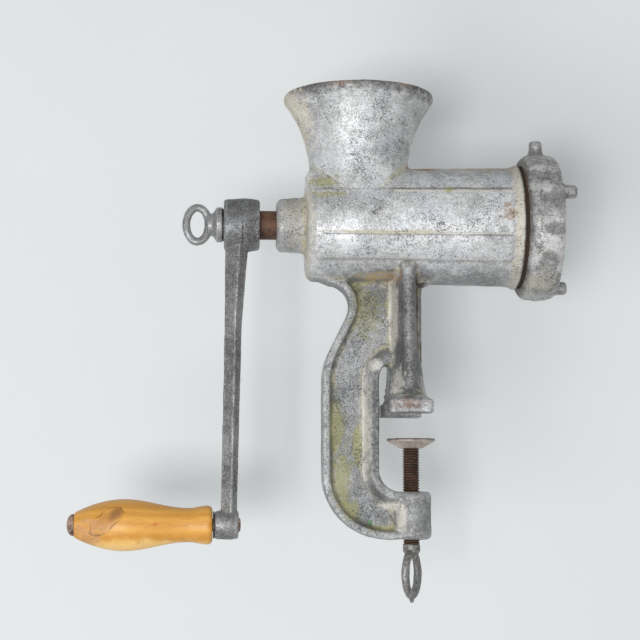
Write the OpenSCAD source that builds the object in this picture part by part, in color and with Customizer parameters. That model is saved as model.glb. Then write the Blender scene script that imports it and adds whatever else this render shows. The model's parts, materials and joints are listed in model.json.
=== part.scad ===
// Hand-cranked meat grinder with a table clamp.
// Origin: clamp screw axis, on the plane of the table feet. +Z is up, +X points at the outlet.

/* [Barrel] */
// Height of the worm axis above the table feet
axis_h = 111.8; // [106:0.1:118]
// Distance from the clamp axis back to the rear wall
rear_back = 61.9; // [58:0.1:68]
// Distance from the clamp axis forward to the shoulder behind the ring nut
shoulder_out = 62.6; // [58:0.1:66]
// Outside radius of the barrel at the rear wall
barrel_rear_r = 33.2; // [32.6:0.1:35]
// Outside radius of the barrel in front, before the flare
barrel_front_r = 35.2; // [33.5:0.1:37]
// Radius of the rounded edge of the rear wall
rear_edge_r = 5; // [2:0.5:7]
// Thickness of the rear wall
rear_wall = 5; // [3.5:0.1:7]
// Radius of the barrel's bore
bore_r = 29.6; // [28.5:0.1:30.2]
// Height of the flare in front of the barrel
flare_rise = 2.6; // [1:0.1:4]
// Radius of the flare's hollow
flare_r = 9; // [6:0.5:14]
// Radius of the threaded neck under the ring nut
neck_r = 35.5; // [34.5:0.1:36]
// Length of the threaded neck
neck_len = 12.4; // [11:0.1:16]
// Depth of the seat for the hole plate in the barrel's mouth
seat_depth = 4.2; // [3:0.1:5]
// Height of the plain panels on the barrel's sides
panel_rise = 0.9; // [0.3:0.1:1.2]
// Angle of the upper panel's top edge above the barrel's side, in degrees
panel_top = 29; // [20:0.5:45]
// Angle of the middle of the strip between the two panels, in degrees
panel_split = -14; // [-20:0.5:0]
// Angle of the lower panel's bottom edge, in degrees
panel_low = -42; // [-50:0.5:-30]
// Angle of the strip between the two panels, in degrees
panel_strip = 2; // [1:0.5:5]

/* [Rear boss] */
// Length of the bearing boss behind the rear wall
boss_len = 17.4; // [12:0.1:22]
// Radius of the boss at its rear end
boss_r = 15.8; // [13:0.1:18]
// Growth of the boss radius towards the wall
boss_draft = 0.8; // [0:0.1:2]
// Rounding of the boss edge
boss_edge_r = 3.5; // [1:0.1:5]
// Hollow fillet between the boss and the wall
boss_fillet_r = 2; // [1:0.1:3]

/* [Hopper] */
// Distance of the hopper's axis behind the clamp axis
hopper_back = 30.4; // [27:0.1:33]
// Height of the hopper's rim above the table feet
hopper_top = 189.6; // [180:0.1:200]
// Outside radius of the hopper's neck
hopper_neck_r = 28.9; // [27:0.1:30]
// Outside radius of the rim
hopper_rim_r = 44.4; // [42:0.1:48]
// Outside radius of the hopper's foot, where it meets the barrel
hopper_foot_r = 31.3; // [29:0.1:31.5]
// Height above the worm axis at which that foot begins to narrow
hopper_foot_up = 13.2; // [8:0.1:16]
// Height at which the hopper begins to flare
hopper_flare_z = 140; // [137:0.5:150]
// Wall of the hopper
hopper_wall = 3.4; // [2.5:0.1:4.5]
// Height of the rim's upright lip
lip_h = 3.8; // [2:0.1:6]
// Overhang of the lip over the flare
lip_step = 0.5; // [0.3:0.1:1]
// Rounding of the rim's top edge
rim_edge_r = 1; // [0.5:0.1:1.4]

/* [Clamp frame] */
// Distance of the frame's back behind the clamp axis
frame_back = 52.3; // [49:0.1:56]
// Distance of the frame's inner face behind the clamp axis
frame_throat = 19.2; // [17:0.1:23]
// Depth of the frame, across the casting
frame_depth = 18; // [14:0.5:20]
// Thickness of the web between the flanges
web_t = 6; // [4:0.5:9]
// Width of the outer flange
outer_flange = 4.2; // [3:0.1:6]
// Width of the inner flange
inner_flange = 4.6; // [3:0.1:6]
// Width of the slope from the inner flange down to the web
flange_slope = 4.6; // [2:0.1:6]
// Radius of the hollow under the rear of the barrel
notch_r = 13; // [10:0.5:15]
// Distance of that hollow's middle behind the clamp axis
notch_back = 49.2; // [47:0.1:52]
// Drop of that hollow below the barrel
notch_drop = 1.6; // [1:0.1:3]
// Radius of the bend in the frame's back below that hollow
shoulder_r = 42; // [36:0.5:46]
// Height of that bend's middle above the table feet
shoulder_z = 19; // [16:0.5:22]
// Radius of the bend at the bottom of the frame's back
back_r = 38; // [32:0.5:40]
// Radius of the bend inside the frame, above the lower jaw
throat_r = 12.4; // [10:0.1:14]
// Radius of the arch inside the frame, behind the feet
arch_r = 8.2; // [6:0.1:8.6]
// Height of that arch's middle above the table feet
arch_z = 22; // [18:0.5:26]
// Depth of the lower jaw's top below the table feet
jaw_drop = 44.6; // [40:0.1:50]
// Height of the lower jaw
jaw_h = 27.6; // [24:0.1:32]
// Radius of the lower jaw's boss
jaw_r = 11.6; // [10:0.1:14]
// Rounding of the lower jaw's boss
jaw_edge_r = 3; // [1:0.5:4]

/* [Feet] */
// Length of a foot pad, along the barrel
pad_len = 25; // [20:0.5:30]
// Width of a foot pad, across the barrel
pad_w = 20; // [16:0.5:24]
// Thickness of a foot pad
pad_t = 7.4; // [5:0.1:10]
// Distance between the middles of the foot pads
pad_span = 58; // [52:0.5:64]
// Distance of the feet behind the clamp axis
pad_back = 3.4; // [1:0.1:6]
// Rounding of the foot pads' corners
pad_corner_r = 3; // [1:0.5:5]
// Width of the rounded bead down the outside of each leg
leg_bead = 6.6; // [5:0.1:9]
// Distance of the bead outside the middle of its foot pad
bead_out = 3; // [0:0.5:5]
// Width of the leg at the middle of the casting
leg_root = 18.8; // [16:0.1:24]
// Distance of the leg's rear face behind the clamp axis
leg_back = 13; // [11:0.1:15]
// Lean of each leg away from the upright, in degrees
leg_lean = 3.4; // [0:0.1:6]
// Height at which the legs part
leg_part = 38; // [32:0.5:44]
// Growth of the leg's width at the foot, to the rear
leg_spread_rear = 2.6; // [0:0.1:3]
// Growth of the leg's width at the foot, to the front
leg_spread_front = 2.8; // [0:0.1:3]
// Distance of the leg's inner side at the foot inside the middle of its pad
leg_inset = 8; // [6:0.5:9.5]
// Drop of the bead's blunt end below the worm axis
bead_drop = 27.8; // [24:0.1:32]
// Width of the slope around the top of a foot pad
pad_slope_w = 3; // [1:0.5:5]
// Height of that slope
pad_slope_h = 3; // [1:0.5:5]

/* [Worm] */
// Clearance between the worm's flight and the bore
worm_gap = 1; // [0.6:0.1:1.6]
// Radius of the worm's core at the rear
core_rear_r = 11.5; // [10.5:0.1:14]
// Radius of the worm's core in front
core_front_r = 15; // [12:0.1:17]
// Axial length of one turn at the rear of the flight
pitch_rear = 38; // [30:0.5:44]
// Axial length of one turn at the front of the flight
pitch_front = 26; // [20:0.5:30]
// Thickness of the flight at its tip
flight_tip = 3.4; // [2:0.1:5]
// Thickness of the flight at its root
flight_root = 6.6; // [4:0.1:9]
// Radius of the shank
shank_r = 8.5; // [7.8:0.1:9]
// Length of bare shank between the boss and the crank hub
shank_show = 9.8; // [6:0.1:14]
// Width across the flats of the square under the crank hub
square_w = 11; // [9:0.1:11.4]
// Depth of the sockets in both ends of the worm
socket_len = 30; // [24:0.5:34]
// Thickness of the thrust washer
thrust_t = 1.6; // [1:0.1:3]
// Radius of the thrust washer
thrust_r = 14; // [12:0.1:18]

/* [Cutting set] */
// Radius of the hole plate
plate_r = 31; // [30.4:0.1:31.4]
// Thickness of the hole plate
plate_t = 6; // [4:0.1:8]
// Diameter of the plate's holes
hole_d = 4.5; // [3:0.1:5]
// Thickness of the knife
knife_t = 7.6; // [6:0.1:10]
// Radius of the knife
knife_r = 27.6; // [24:0.1:28.2]
// Radius of the knife's hub
knife_hub_r = 9.6; // [8.5:0.1:11]
// Width across the flats of the stud's square
stud_square = 9; // [8:0.1:9.6]
// Radius of the stud's pilot
pilot_r = 4; // [3:0.1:4.3]
// Diameter of the key pin
key_d = 3; // [2:0.1:3.6]

/* [Ring nut] */
// Width of the ring nut
ring_w = 20; // [18:0.1:24]
// Greatest radius of the ring nut
ring_r = 43.7; // [42:0.1:46]
// Radius of the ring nut's rear edge
ring_rear_r = 38.6; // [37.8:0.1:40]
// Radius of the ring nut's front edge
ring_front_r = 40.6; // [39.5:0.1:42]
// Radius of the outlet
outlet_r = 28; // [26:0.1:29]
// Gap between the barrel's shoulder and the ring nut
ring_gap = 2.8; // [0.8:0.1:3.4]
// Number of finger flutes
flutes = 18; // [9:3:24]
// Depth of a flute
flute_depth = 1.2; // [0.4:0.1:1.6]
// Radius of a flute
flute_r = 11; // [8:0.5:14]
// Diameter of a lug
lug_d = 7.8; // [6:0.1:9]
// Height of a lug above the ring
lug_h = 8.4; // [4:0.1:10]
// Turn of the ring nut as it is tightened, in degrees
ring_angle = 3.6; // [0:0.1:119.9]
// Radius of the circle of forward lugs
lug_circle_r = 36; // [34:0.1:36.5]

/* [Crank] */
// Crank radius, from the worm axis to the grip axis
crank_r = 175.6; // [150:0.1:200]
// Length of the crank hub
hub_len = 21; // [16:0.1:26]
// Radius of the crank hub at its ridge
hub_r = 15.9; // [14:0.1:18]
// Fall of the hub's radius from the ridge to its ends
hub_draft = 0.9; // [0.2:0.1:1.6]
// Width of the arm below the hub
arm_top_w = 13.4; // [11:0.1:16]
// Width of the arm at half length
arm_mid_w = 9.9; // [8:0.1:12]
// Place of the arm's ridge across its width, as a share of it
arm_ridge = 0.63; // [0.4:0.01:0.7]
// Width of the arm above the lower boss
arm_low_w = 9.2; // [7:0.1:12]
// Distance of the arm's rear side inside the hub's rear face
arm_in = 0.9; // [0:0.1:3]
// Lean of the arm's lower end to the rear
arm_lean = 1.6; // [0:0.1:4]
// Depth of the arm below the hub
arm_top_d = 19; // [14:0.1:24]
// Depth of the arm above the lower boss
arm_low_d = 11.5; // [9:0.1:15]
// Length of the lower boss
low_boss_len = 13.9; // [10:0.1:18]
// Distance of the lower boss behind the hub's rear face
low_boss_back = 4.3; // [2:0.1:6]
// Radius of the lower boss
low_boss_r = 8.6; // [7:0.1:11]
// Thickness of the washer under the eye screw
crank_washer_t = 0.9; // [0.6:0.1:2]
// Radius of the washer under the eye screw
crank_washer_r = 9.6; // [8:0.1:10]

/* [Eye screw] */
// Radius of the eye screw's collar
eye_collar_r = 10.4; // [9:0.1:12]
// Thickness of the collar
eye_collar_t = 3.2; // [2:0.1:5]
// Length of the cone between the collar and the neck
eye_cone_len = 2.4; // [1:0.1:4]
// Width of the flat neck
eye_neck_w = 13.6; // [10:0.1:16]
// Width of the eye
eye_w = 18; // [14:0.1:22]
// Height of the eye
eye_h = 25; // [20:0.1:28]
// Width of the eye's limb
eye_limb = 4.8; // [3:0.1:5.4]
// Thickness of the eye
eye_t = 5; // [4:0.1:7]
// Radius of the threaded stud
eye_stud_r = 4; // [3:0.1:4.4]
// Length of the stud inside the shank
eye_stud_len = 15; // [12:0.1:20]

/* [Grip] */
// Length of the wooden grip
grip_len = 79.2; // [65:0.1:95]
// Radius of the grip at its outer end
grip_end_r = 7; // [6.4:0.1:9]
// Greatest radius of the grip
grip_belly_r = 14.9; // [12:0.1:18]
// Distance of the belly from the outer end
grip_belly_at = 28.5; // [20:0.5:34]
// Radius of the grip's waist
grip_waist_r = 9.8; // [8:0.1:12]
// Distance of the waist from the outer end
grip_waist_at = 65.5; // [55:0.5:68]
// Radius of the bead beside the crank
grip_bead_r = 11.2; // [10:0.1:13]
// Length of the bead's rounded end
grip_bead_len = 2.8; // [1.5:0.1:4]
// Radius of the spindle
spindle_r = 3.7; // [3:0.1:4.4]
// Radius of the spindle's domed head
head_r = 6.3; // [5.4:0.1:8]
// Height of the domed head
head_h = 4.2; // [3:0.1:6]
// Height of the peened end behind the boss
peen_h = 1.2; // [0.6:0.1:2]
// Thickness of the washer beside the grip
grip_washer_t = 0.9; // [0.6:0.1:2.4]
// Radius of the washer beside the grip
grip_washer_r = 7.8; // [6:0.1:9]

/* [Clamp screw] */
// Thread radius of the clamp screw
screw_r = 5; // [4:0.1:6]
// Gap between the feet and the pressure pad, as photographed
clamp_gap = 13.8; // [4:0.1:20]
// Radius of the pressure pad
disc_r = 14.1; // [12:0.1:18]
// Thickness of the pressure pad's rim
disc_rim = 1.8; // [1:0.1:3]
// Height of the pressure pad
disc_h = 5.6; // [4:0.1:8]
// Radius of the pressure pad's neck
disc_neck_r = 6.4; // [6.2:0.1:9]
// Radius of the pivot inside the pressure pad
pivot_r = 3.2; // [2.4:0.1:3.6]
// Length of screw that shows below the lower jaw
screw_below = 2.8; // [1.5:0.1:6]
// Width of the thumb loop
loop_w = 25; // [20:0.1:32]
// Height of the thumb loop
loop_h = 30; // [26:0.1:38]
// Width of the loop's limb
loop_limb = 5.6; // [4:0.1:7]
// Thickness of the loop
loop_t = 4.6; // [3.5:0.1:6]
// Length of the loop's collar
loop_collar = 8; // [6:0.1:11]
// Length of the screw's tang inside the collar
tang_len = 5; // [3:0.1:5.6]
// Turn of the thumb loop about the screw, in degrees
loop_turn = 62; // [0:1:180]

/* [Clearances] */
// Radial clearance of a running fit
run_gap = 0.1; // [0.05:0.01:0.1]
// Clearance of a fixed fit
fit_gap = 0.02; // [0.01:0.01:0.05]
// Clearance between faces that slide past each other
slide_gap = 0.3; // [0.2:0.05:0.5]
// Clearance between threads
thread_gap = 0.35; // [0.3:0.05:0.5]

/* [Hidden] */
$fn = 64;

// Places along the worm axis
rear_x = -rear_back;
wall_x = rear_x + rear_wall;
boss_x = rear_x - boss_len;
hub_x1 = boss_x - shank_show;
hub_x0 = hub_x1 - hub_len;
neck_end = shoulder_out + neck_len;
plate_x = neck_end - seat_depth;
knife_x = plate_x - slide_gap;
worm_front = knife_x - knife_t - slide_gap;
worm_rear = wall_x + thrust_t + slide_gap;
lip_x = plate_x + plate_t + slide_gap;
ring_x = shoulder_out + ring_gap;
ring_front = ring_x + ring_w;
tail_r = shank_r - 1;
collar_x = hub_x0 - crank_washer_t - fit_gap;
eye_x = collar_x - eye_collar_t - eye_cone_len - eye_w / 2;

// Places along the grip axis
grip_z = axis_h - crank_r;
low_boss_x0 = hub_x0 - low_boss_back;
low_boss_x1 = low_boss_x0 + low_boss_len;
grip_x1 = low_boss_x0 - grip_washer_t - slide_gap;
grip_x0 = grip_x1 - grip_len;

// Heights of the clamp
jaw_top = -jaw_drop;
jaw_bottom = jaw_top - jaw_h;
disc_top = -clamp_gap;
screw_top = disc_top - disc_h - fit_gap;
pivot_top = screw_top + disc_h * 0.6;
collar_top = jaw_bottom - screw_below;
tang_r = screw_r * 0.6;

// Overlaps of shapes that grow into each other, small and large
sunk = 0.2;
lap = 2;

// Height at which the hopper's foot begins to narrow
hopper_foot_z = axis_h + hopper_foot_up;

// Shapes of the clamp frame
frame_edge = frame_depth / 2;
under_barrel = axis_h - barrel_rear_r;
bore_cover = 1;
above_bore = axis_h - bore_r - bore_cover;
notch = [-notch_back, under_barrel - notch_r - notch_drop];
notch_reach = 8;
notch_left = notch.x - notch_reach;
shoulder_c = [shoulder_r - frame_back, shoulder_z];
between = shoulder_c - notch;
notch_end = atan2(between.y, between.x) + acos((notch_r + shoulder_r) / norm(between));
back_c = [back_r - frame_back, jaw_bottom + back_r];
throat_c = [throat_r - frame_throat, jaw_top + throat_r];
arch_c = [arch_r - frame_throat, arch_z];
arch_top = arch_z + arch_r;
pocket_end = -jaw_r * 0.45;
leg_x0 = -leg_back;
leg_x1 = leg_x0 + leg_root;
bead_top = axis_h - bead_drop;
leg_fillet = 5;

// Points of a circular arc about c
function arc(c, r, from, to, n = 8) =
    [for (i = [0:n]) let (a = from + (to - from) * i / n) c + r * [cos(a), sin(a)]];

// Turns shapes made about Z so that they lie about the worm axis
module on_axis() {
    translate([0, 0, axis_h]) rotate([0, 90, 0]) children();
}

// Turns shapes made about Z so that they lie about the grip axis
module on_grip_axis() {
    translate([0, 0, grip_z]) rotate([0, 90, 0]) children();
}

// A round bar along Z between two heights
module bar(r, from, to) {
    translate([0, 0, from]) cylinder(r = r, h = to - from);
}

// Solid between two pairs of lines in the XZ plane, each pair at its own place along Y.
// All four lines have equal numbers of points and run the same way.
module ribbon(left_a, right_a, ya, left_b, right_b, yb) {
    n = len(left_a);
    corners = [0, n, 3 * n, 2 * n];
    function strip(p, q) = [for (i = [0:n - 2])
        each [[p + i, q + i, q + i + 1], [p + i, q + i + 1, p + i + 1]]];
    polyhedron(
        points = concat(
            [for (p = concat(left_a, right_a)) [p.x, ya, p.y]],
            [for (p = concat(left_b, right_b)) [p.x, yb, p.y]]),
        faces = concat(
            [for (k = [0:3]) each strip(corners[k], corners[(k + 1) % 4])],
            [[for (k = [3:-1:0]) corners[k]], [for (k = [0:3]) corners[k] + n - 1]]));
}

// Solid through outlines with equal numbers of points, one at each height
module stack(heights, outlines) {
    n = len(outlines[0]);
    last = len(heights) - 1;
    polyhedron(
        points = [for (k = [0:last], p = outlines[k]) [p.x, p.y, heights[k]]],
        faces = concat(
            [[for (i = [0:n - 1]) i], [for (i = [n - 1:-1:0]) last * n + i]],
            [for (k = [0:last - 1], i = [0:n - 1]) let (a = k * n + i, b = k * n + (i + 1) % n)
                each [[b, a, a + n], [b, a + n, b + n]]]));
}

// Closed oval ring in the XZ plane, swept with an oval section
module oval_ring(w, h, limb, thick, rings = 40, sides = 12) {
    a = (w - limb) / 2;
    b = (h - limb) / 2;
    points = [for (i = [0:rings - 1], k = [0:sides - 1])
        let (t = 360 * i / rings, s = 360 * k / sides)
        let (n = [cos(t) / a, sin(t) / b], q = limb / 2 * cos(s) / norm(n))
            [a * cos(t) + q * n.x, thick / 2 * sin(s), b * sin(t) + q * n.y]];
    faces = [for (i = [0:rings - 1], k = [0:sides - 1])
        let (i2 = (i + 1) % rings, k2 = (k + 1) % sides)
            each [[i * sides + k, i2 * sides + k2, i * sides + k2],
                  [i * sides + k, i2 * sides + k, i2 * sides + k2]]];
    polyhedron(points, faces);
}

// Outside of the barrel and its bearing boss, radius against place along the axis
function barrel_profile() =
    let (bend = acos(1 - flare_rise / flare_r), boss_wall_r = boss_r + boss_draft)
    concat(
        [[0, boss_x]],
        arc([boss_r - boss_edge_r, boss_x + boss_edge_r], boss_edge_r, -90, 0, 5),
        arc([boss_wall_r + boss_fillet_r, rear_x - boss_fillet_r], boss_fillet_r, 180, 90, 4),
        arc([barrel_rear_r - rear_edge_r, rear_x + rear_edge_r], rear_edge_r, -90, 0, 6),
        arc([barrel_front_r + flare_r, shoulder_out - flare_r * sin(bend)], flare_r, 180, 180 - bend, 5),
        [[neck_r, shoulder_out], [neck_r, neck_end], [0, neck_end]]);

// Plain raised panel along the barrel's side between two angles up from the side
module barrel_panel(low, high) {
    from = rear_x + rear_edge_r;
    to = shoulder_out - flare_r / 2;
    slope = (barrel_front_r - barrel_rear_r) / (shoulder_out - rear_x);
    r0 = barrel_rear_r + slope * (from - rear_x);
    r1 = barrel_rear_r + slope * (to - rear_x);
    on_axis() rotate([0, 0, -90 - high]) rotate_extrude(angle = high - low)
        polygon([[r0 - lap, from], [r0 + panel_rise, from], [r1 + panel_rise, to], [r1 - lap, to]]);
}

// Outside of the hopper, radius against height
function hopper_sweep_r() =
    let (rise = hopper_top - lip_h - hopper_flare_z, out = hopper_rim_r - lip_step - hopper_neck_r)
    (rise * rise + out * out) / (2 * out);
function hopper_outside() =
    let (r = hopper_sweep_r(), end = 180 - asin((hopper_top - lip_h - hopper_flare_z) / r))
    concat(
        [[0, axis_h], [hopper_foot_r, axis_h]],
        [for (t = [0:0.2:0.9]) [hopper_foot_r + (hopper_neck_r - hopper_foot_r) * (1 - cos(180 * t)) / 2,
                                hopper_foot_z + (hopper_flare_z - hopper_foot_z) * t]],
        arc([hopper_neck_r + r, hopper_flare_z], r, 180, end, 12),
        [[hopper_rim_r, hopper_top - lip_h + lip_step]],
        arc([hopper_rim_r - rim_edge_r, hopper_top - rim_edge_r], rim_edge_r, 0, 90, 3),
        [[0, hopper_top]]);

// Inside of the hopper and its throat, down to the worm axis
function hopper_inside() =
    let (r = hopper_sweep_r(), over = 0.5,
         end = 180 - asin((hopper_top - 1.5 * rim_edge_r - hopper_flare_z) / (r + hopper_wall)))
    concat(
        [[0, axis_h], [hopper_neck_r - hopper_wall, axis_h]],
        arc([hopper_neck_r + r, hopper_flare_z], r + hopper_wall, 180, end, 12),
        [[hopper_rim_r - 1.6 * rim_edge_r, hopper_top + over], [0, hopper_top + over]]);

// Outline of the clamp frame, seen from the side
function frame_outline() = concat(
    [[notch_left, under_barrel + lap]],
    arc(notch, notch_r, 86, notch_end),
    arc(shoulder_c, shoulder_r, notch_end + 180, 180, 6),
    arc(back_c, back_r, 180, 270, 12),
    [[0, jaw_bottom], [0, jaw_top - sunk]],
    arc(throat_c, throat_r + sunk, 270, 180, 10),
    arc(arch_c, arch_r, 180, 90, 6),
    [[leg_x1 - sunk, arch_top]],
    arc([leg_x1 + leg_fillet, axis_h - barrel_front_r - leg_fillet], leg_fillet + sunk, 180, 90, 5),
    [[leg_x1 + leg_fillet, above_bore], [notch_left, above_bore]]);

// Outer and inner edges of the hollow beside the web, set in from the frame's own edges, from the top down
function pocket_outer(from_outer) = concat(
    [[notch.x + notch_r, axis_h]],
    arc(notch, notch_r + from_outer, 75, notch_end, 8),
    arc(shoulder_c, shoulder_r - from_outer, notch_end + 180, 180, 6),
    arc(back_c, back_r - from_outer, 180, 262, 12),
    [[pocket_end, jaw_bottom + from_outer]]);
function pocket_inner(from_inner) =
    let (arch = arch_r + from_inner, throat = throat_r + from_inner,
         leg_side = leg_x0 + leg_root * 0.35 - from_inner / 2,
         arch_start = 180 - acos((arch_c.x - leg_side) / arch),
         throat_end = 180 + acos((throat_c.x - pocket_end) / throat),
         down = axis_h - arch_c.y - arch * sin(arch_start))
    concat(
        [for (i = [0:9]) [leg_side, axis_h - down * i / 10]],
        arc(arch_c, arch, arch_start, 180, 6),
        arc(throat_c, throat, 180, throat_end, 13));

module clamp_frame() {
    cut = 0.5;
    floor_outer = outer_flange + 1;
    floor_inner = inner_flange + flange_slope;
    difference() {
        translate([0, frame_edge, 0]) rotate([90, 0, 0])
            linear_extrude(frame_depth) polygon(frame_outline());
        for (side = [0, 1]) mirror([0, side, 0])
            ribbon(pocket_outer(outer_flange), pocket_inner(inner_flange), -frame_edge - cut,
                   pocket_outer(floor_outer), pocket_inner(floor_inner), -web_t / 2);
    }
}

// Rounded rectangle about the origin
module pad_shape(w, d, r) {
    polygon(concat(
        arc([w / 2 - r, d / 2 - r], r, 0, 90, 4),
        arc([r - w / 2, d / 2 - r], r, 90, 180, 4),
        arc([r - w / 2, r - d / 2], r, 180, 270, 4),
        arc([w / 2 - r, r - d / 2], r, 270, 360, 4)));
}

// Section of a leg at a height: wide at its inner side, running out to the rounded bead
function leg_section(z, inner, spread = 0, pull = 0) =
    let (bead_y = pad_span / 2 + bead_out - z * tan(leg_lean) - pull)
    concat(
        [[leg_x1 + leg_spread_front * spread, -inner], [leg_x0 - leg_spread_rear * spread, -inner]],
        arc([(leg_x0 + leg_x1) / 2, leg_bead / 2 - bead_y], leg_bead / 2, 200, 340, 8));

// The two legs under the barrel, one column above and spread below, with their pads
module legs() {
    middle = -web_t / 3;
    foot_in = pad_span / 2 - leg_inset;
    foot_z = pad_t / 2;
    half_z = (foot_z + leg_part) / 2;
    half_in = (foot_in + middle) / 2;
    end_z = bead_top + leg_bead;
    slice = 0.4;
    for (side = [0, 1]) mirror([0, side, 0])
        stack([foot_z, half_z, leg_part, bead_top, end_z],
              [leg_section(foot_z, foot_in, 1), leg_section(half_z, half_in, 0.3),
               leg_section(leg_part, middle), leg_section(bead_top, middle),
               leg_section(end_z, middle, 0, leg_bead * 1.2)]);
    for (side = [-1, 1]) translate([-pad_back, side * pad_span / 2, 0]) {
        linear_extrude(pad_t) pad_shape(pad_len, pad_w, pad_corner_r);
        hull() {
            translate([0, 0, pad_t - slice]) linear_extrude(slice)
                pad_shape(pad_len - pad_corner_r, pad_w - pad_corner_r, pad_corner_r);
            translate([0, 0, pad_t]) linear_extrude(pad_slope_h)
                pad_shape(pad_len - pad_corner_r - 2 * pad_slope_w, pad_w - pad_corner_r - 2 * pad_slope_w,
                          pad_corner_r);
        }
    }
}

module body_casting() {
    color("silver") difference() {
        union() {
            on_axis() rotate_extrude() polygon(barrel_profile());
            for (side = [0, 1]) mirror([0, side, 0]) {
                barrel_panel(panel_split + panel_strip / 2, panel_top);
                barrel_panel(panel_low, panel_split - panel_strip / 2);
            }
            translate([-hopper_back, 0, 0]) rotate_extrude() polygon(hopper_outside());
            clamp_frame();
            legs();
            rotate_extrude() polygon(concat(
                [[0, jaw_bottom]],
                arc([jaw_r - jaw_edge_r, jaw_bottom + jaw_edge_r], jaw_edge_r, -90, 0, 5),
                arc([jaw_r - jaw_edge_r, jaw_top - jaw_edge_r], jaw_edge_r, 0, 90, 5),
                [[0, jaw_top]]));
        }
        on_axis() {
            bar(shank_r + run_gap, boss_x - 1, wall_x + 1);
            bar(bore_r, wall_x, neck_end + 1);
            bar(plate_r + slide_gap, plate_x - slide_gap, neck_end + 1);
        }
        translate([-hopper_back, 0, 0]) rotate_extrude() polygon(hopper_inside());
        bar(screw_r + run_gap, jaw_bottom - 1, jaw_top + 1);
        key_place(fit_gap, 1);
    }
}

// Place of the key pin at the bottom of the barrel's mouth
module key_place(gap, extra) {
    key_root = 5;
    translate([0, 0, -plate_r]) on_axis() bar(key_d / 2 + gap, plate_x - key_root, neck_end + extra);
}

module plate_key() {
    color("dimgray") key_place(0, 0);
}

module thrust_washer() {
    color("saddlebrown") on_axis() difference() {
        bar(thrust_r, wall_x + fit_gap, wall_x + thrust_t);
        bar(shank_r + slide_gap, wall_x - 1, wall_x + thrust_t + 1);
    }
}

// Helical flight of the worm: left-handed, its turns closing up towards the front
module flight() {
    steps = 30;
    length = worm_front - worm_rear - flight_root;
    turns = 2 * length / (pitch_rear + pitch_front);
    count = floor(turns * steps);
    tip_r = bore_r - worm_gap;
    function place(k) =
        let (t = k / count, run = pitch_rear * t + (pitch_front - pitch_rear) * t * t / 2)
        worm_rear + flight_root / 2 + length * run * 2 / (pitch_rear + pitch_front);
    function core(x) =
        core_rear_r + (core_front_r - core_rear_r) * (x - worm_rear) / (worm_front - worm_rear);
    function ramp(k) = min(1, (k + 2) / 8, (count - k + 3) / 6);
    function section(root, tip) = [[root, -flight_root / 2], [tip, -flight_tip / 2],
                                   [tip, flight_tip / 2], [root, flight_root / 2]];
    points = [for (k = [0:count])
        let (x = place(k), a = -360 * k / steps, root = core(x), tip = root + (tip_r - root) * ramp(k))
            each [for (p = section(root - 1.5, tip)) [p.x * cos(a), p.x * sin(a), x + p.y]]];
    faces = concat(
        [[0, 1, 2, 3], [for (i = [3:-1:0]) 4 * count + i]],
        [for (k = [0:count - 1], i = [0:3]) let (j = (i + 1) % 4)
            each [[4 * k + j, 4 * k + i, 4 * k + 4 + i], [4 * k + j, 4 * k + 4 + i, 4 * k + 4 + j]]]);
    polyhedron(points, faces);
}

module feed_worm() {
    color("lightgray") on_axis() difference() {
        union() {
            flight();
            rotate_extrude() polygon([[0, worm_rear], [core_rear_r, worm_rear],
                                      [core_front_r, worm_front], [0, worm_front]]);
        }
        bar(tail_r + fit_gap, worm_rear - 1, worm_rear + socket_len + fit_gap);
        bar(stud_square / 2 + fit_gap, worm_front - socket_len - fit_gap, worm_front + 1);
    }
}

module worm_shank() {
    color("sienna") on_axis() difference() {
        union() {
            bar(shank_r, hub_x1 + fit_gap, worm_rear - fit_gap);
            bar(tail_r, worm_rear - 1, worm_rear + socket_len);
            translate([-square_w / 2, -square_w / 2, hub_x0 + 2]) cube([square_w, square_w, hub_len]);
        }
        bar(eye_stud_r + run_gap, hub_x0 - 1, collar_x + crank_washer_t + eye_stud_len + 2);
    }
}

module worm_stud() {
    color("gray") on_axis() {
        bar(stud_square / 2, worm_front - socket_len, worm_front + 0.5);
        translate([-stud_square / 2, -stud_square / 2, worm_front + fit_gap])
            cube([stud_square, stud_square, knife_t]);
        bar(pilot_r, worm_front + knife_t - 1, plate_x + plate_t - 1);
    }
}

// Four-armed cutter, flat and wide towards the plate, narrow behind
module knife() {
    front_w = 8;
    rear_w = 4;
    bevel = 2;
    color("slategray") on_axis() translate([0, 0, knife_x - knife_t]) difference() {
        union() {
            cylinder(r = knife_hub_r, h = knife_t);
            intersection() {
                for (a = [0:90:270]) rotate([0, 0, a]) rotate([90, 0, 90]) linear_extrude(knife_r + 1)
                    polygon([[-rear_w / 2, bevel], [rear_w / 2, bevel], [front_w / 2, knife_t - bevel / 2],
                             [front_w / 2, knife_t], [-front_w / 2, knife_t]]);
                cylinder(r = knife_r, h = knife_t);
            }
        }
        translate([-stud_square / 2 - run_gap, -stud_square / 2 - run_gap, -1])
            cube([stud_square + 2 * run_gap, stud_square + 2 * run_gap, knife_t + 2]);
    }
}

// Plate with rings of holes and a notch for the key pin
module hole_plate() {
    wall = 1.7;
    rim = 3;
    pitch = hole_d + wall;
    first = pilot_r + wall + hole_d / 2;
    last = plate_r - rim - hole_d / 2;
    rows = floor((last - first) / pitch);
    row_step = (last - first) / rows;
    color("darkgray") difference() {
        on_axis() difference() {
            bar(plate_r, plate_x, plate_x + plate_t);
            bar(pilot_r + run_gap, plate_x - 1, plate_x + plate_t + 1);
            for (k = [0:rows]) {
                r = first + row_step * k;
                n = floor(2 * PI * r / pitch);
                for (i = [0:n - 1]) rotate([0, 0, 360 * i / n]) translate([r, 0, 0])
                    bar(hole_d / 2, plate_x - 1, plate_x + plate_t + 1);
            }
        }
        key_place(slide_gap, plate_t);
    }
}

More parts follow.
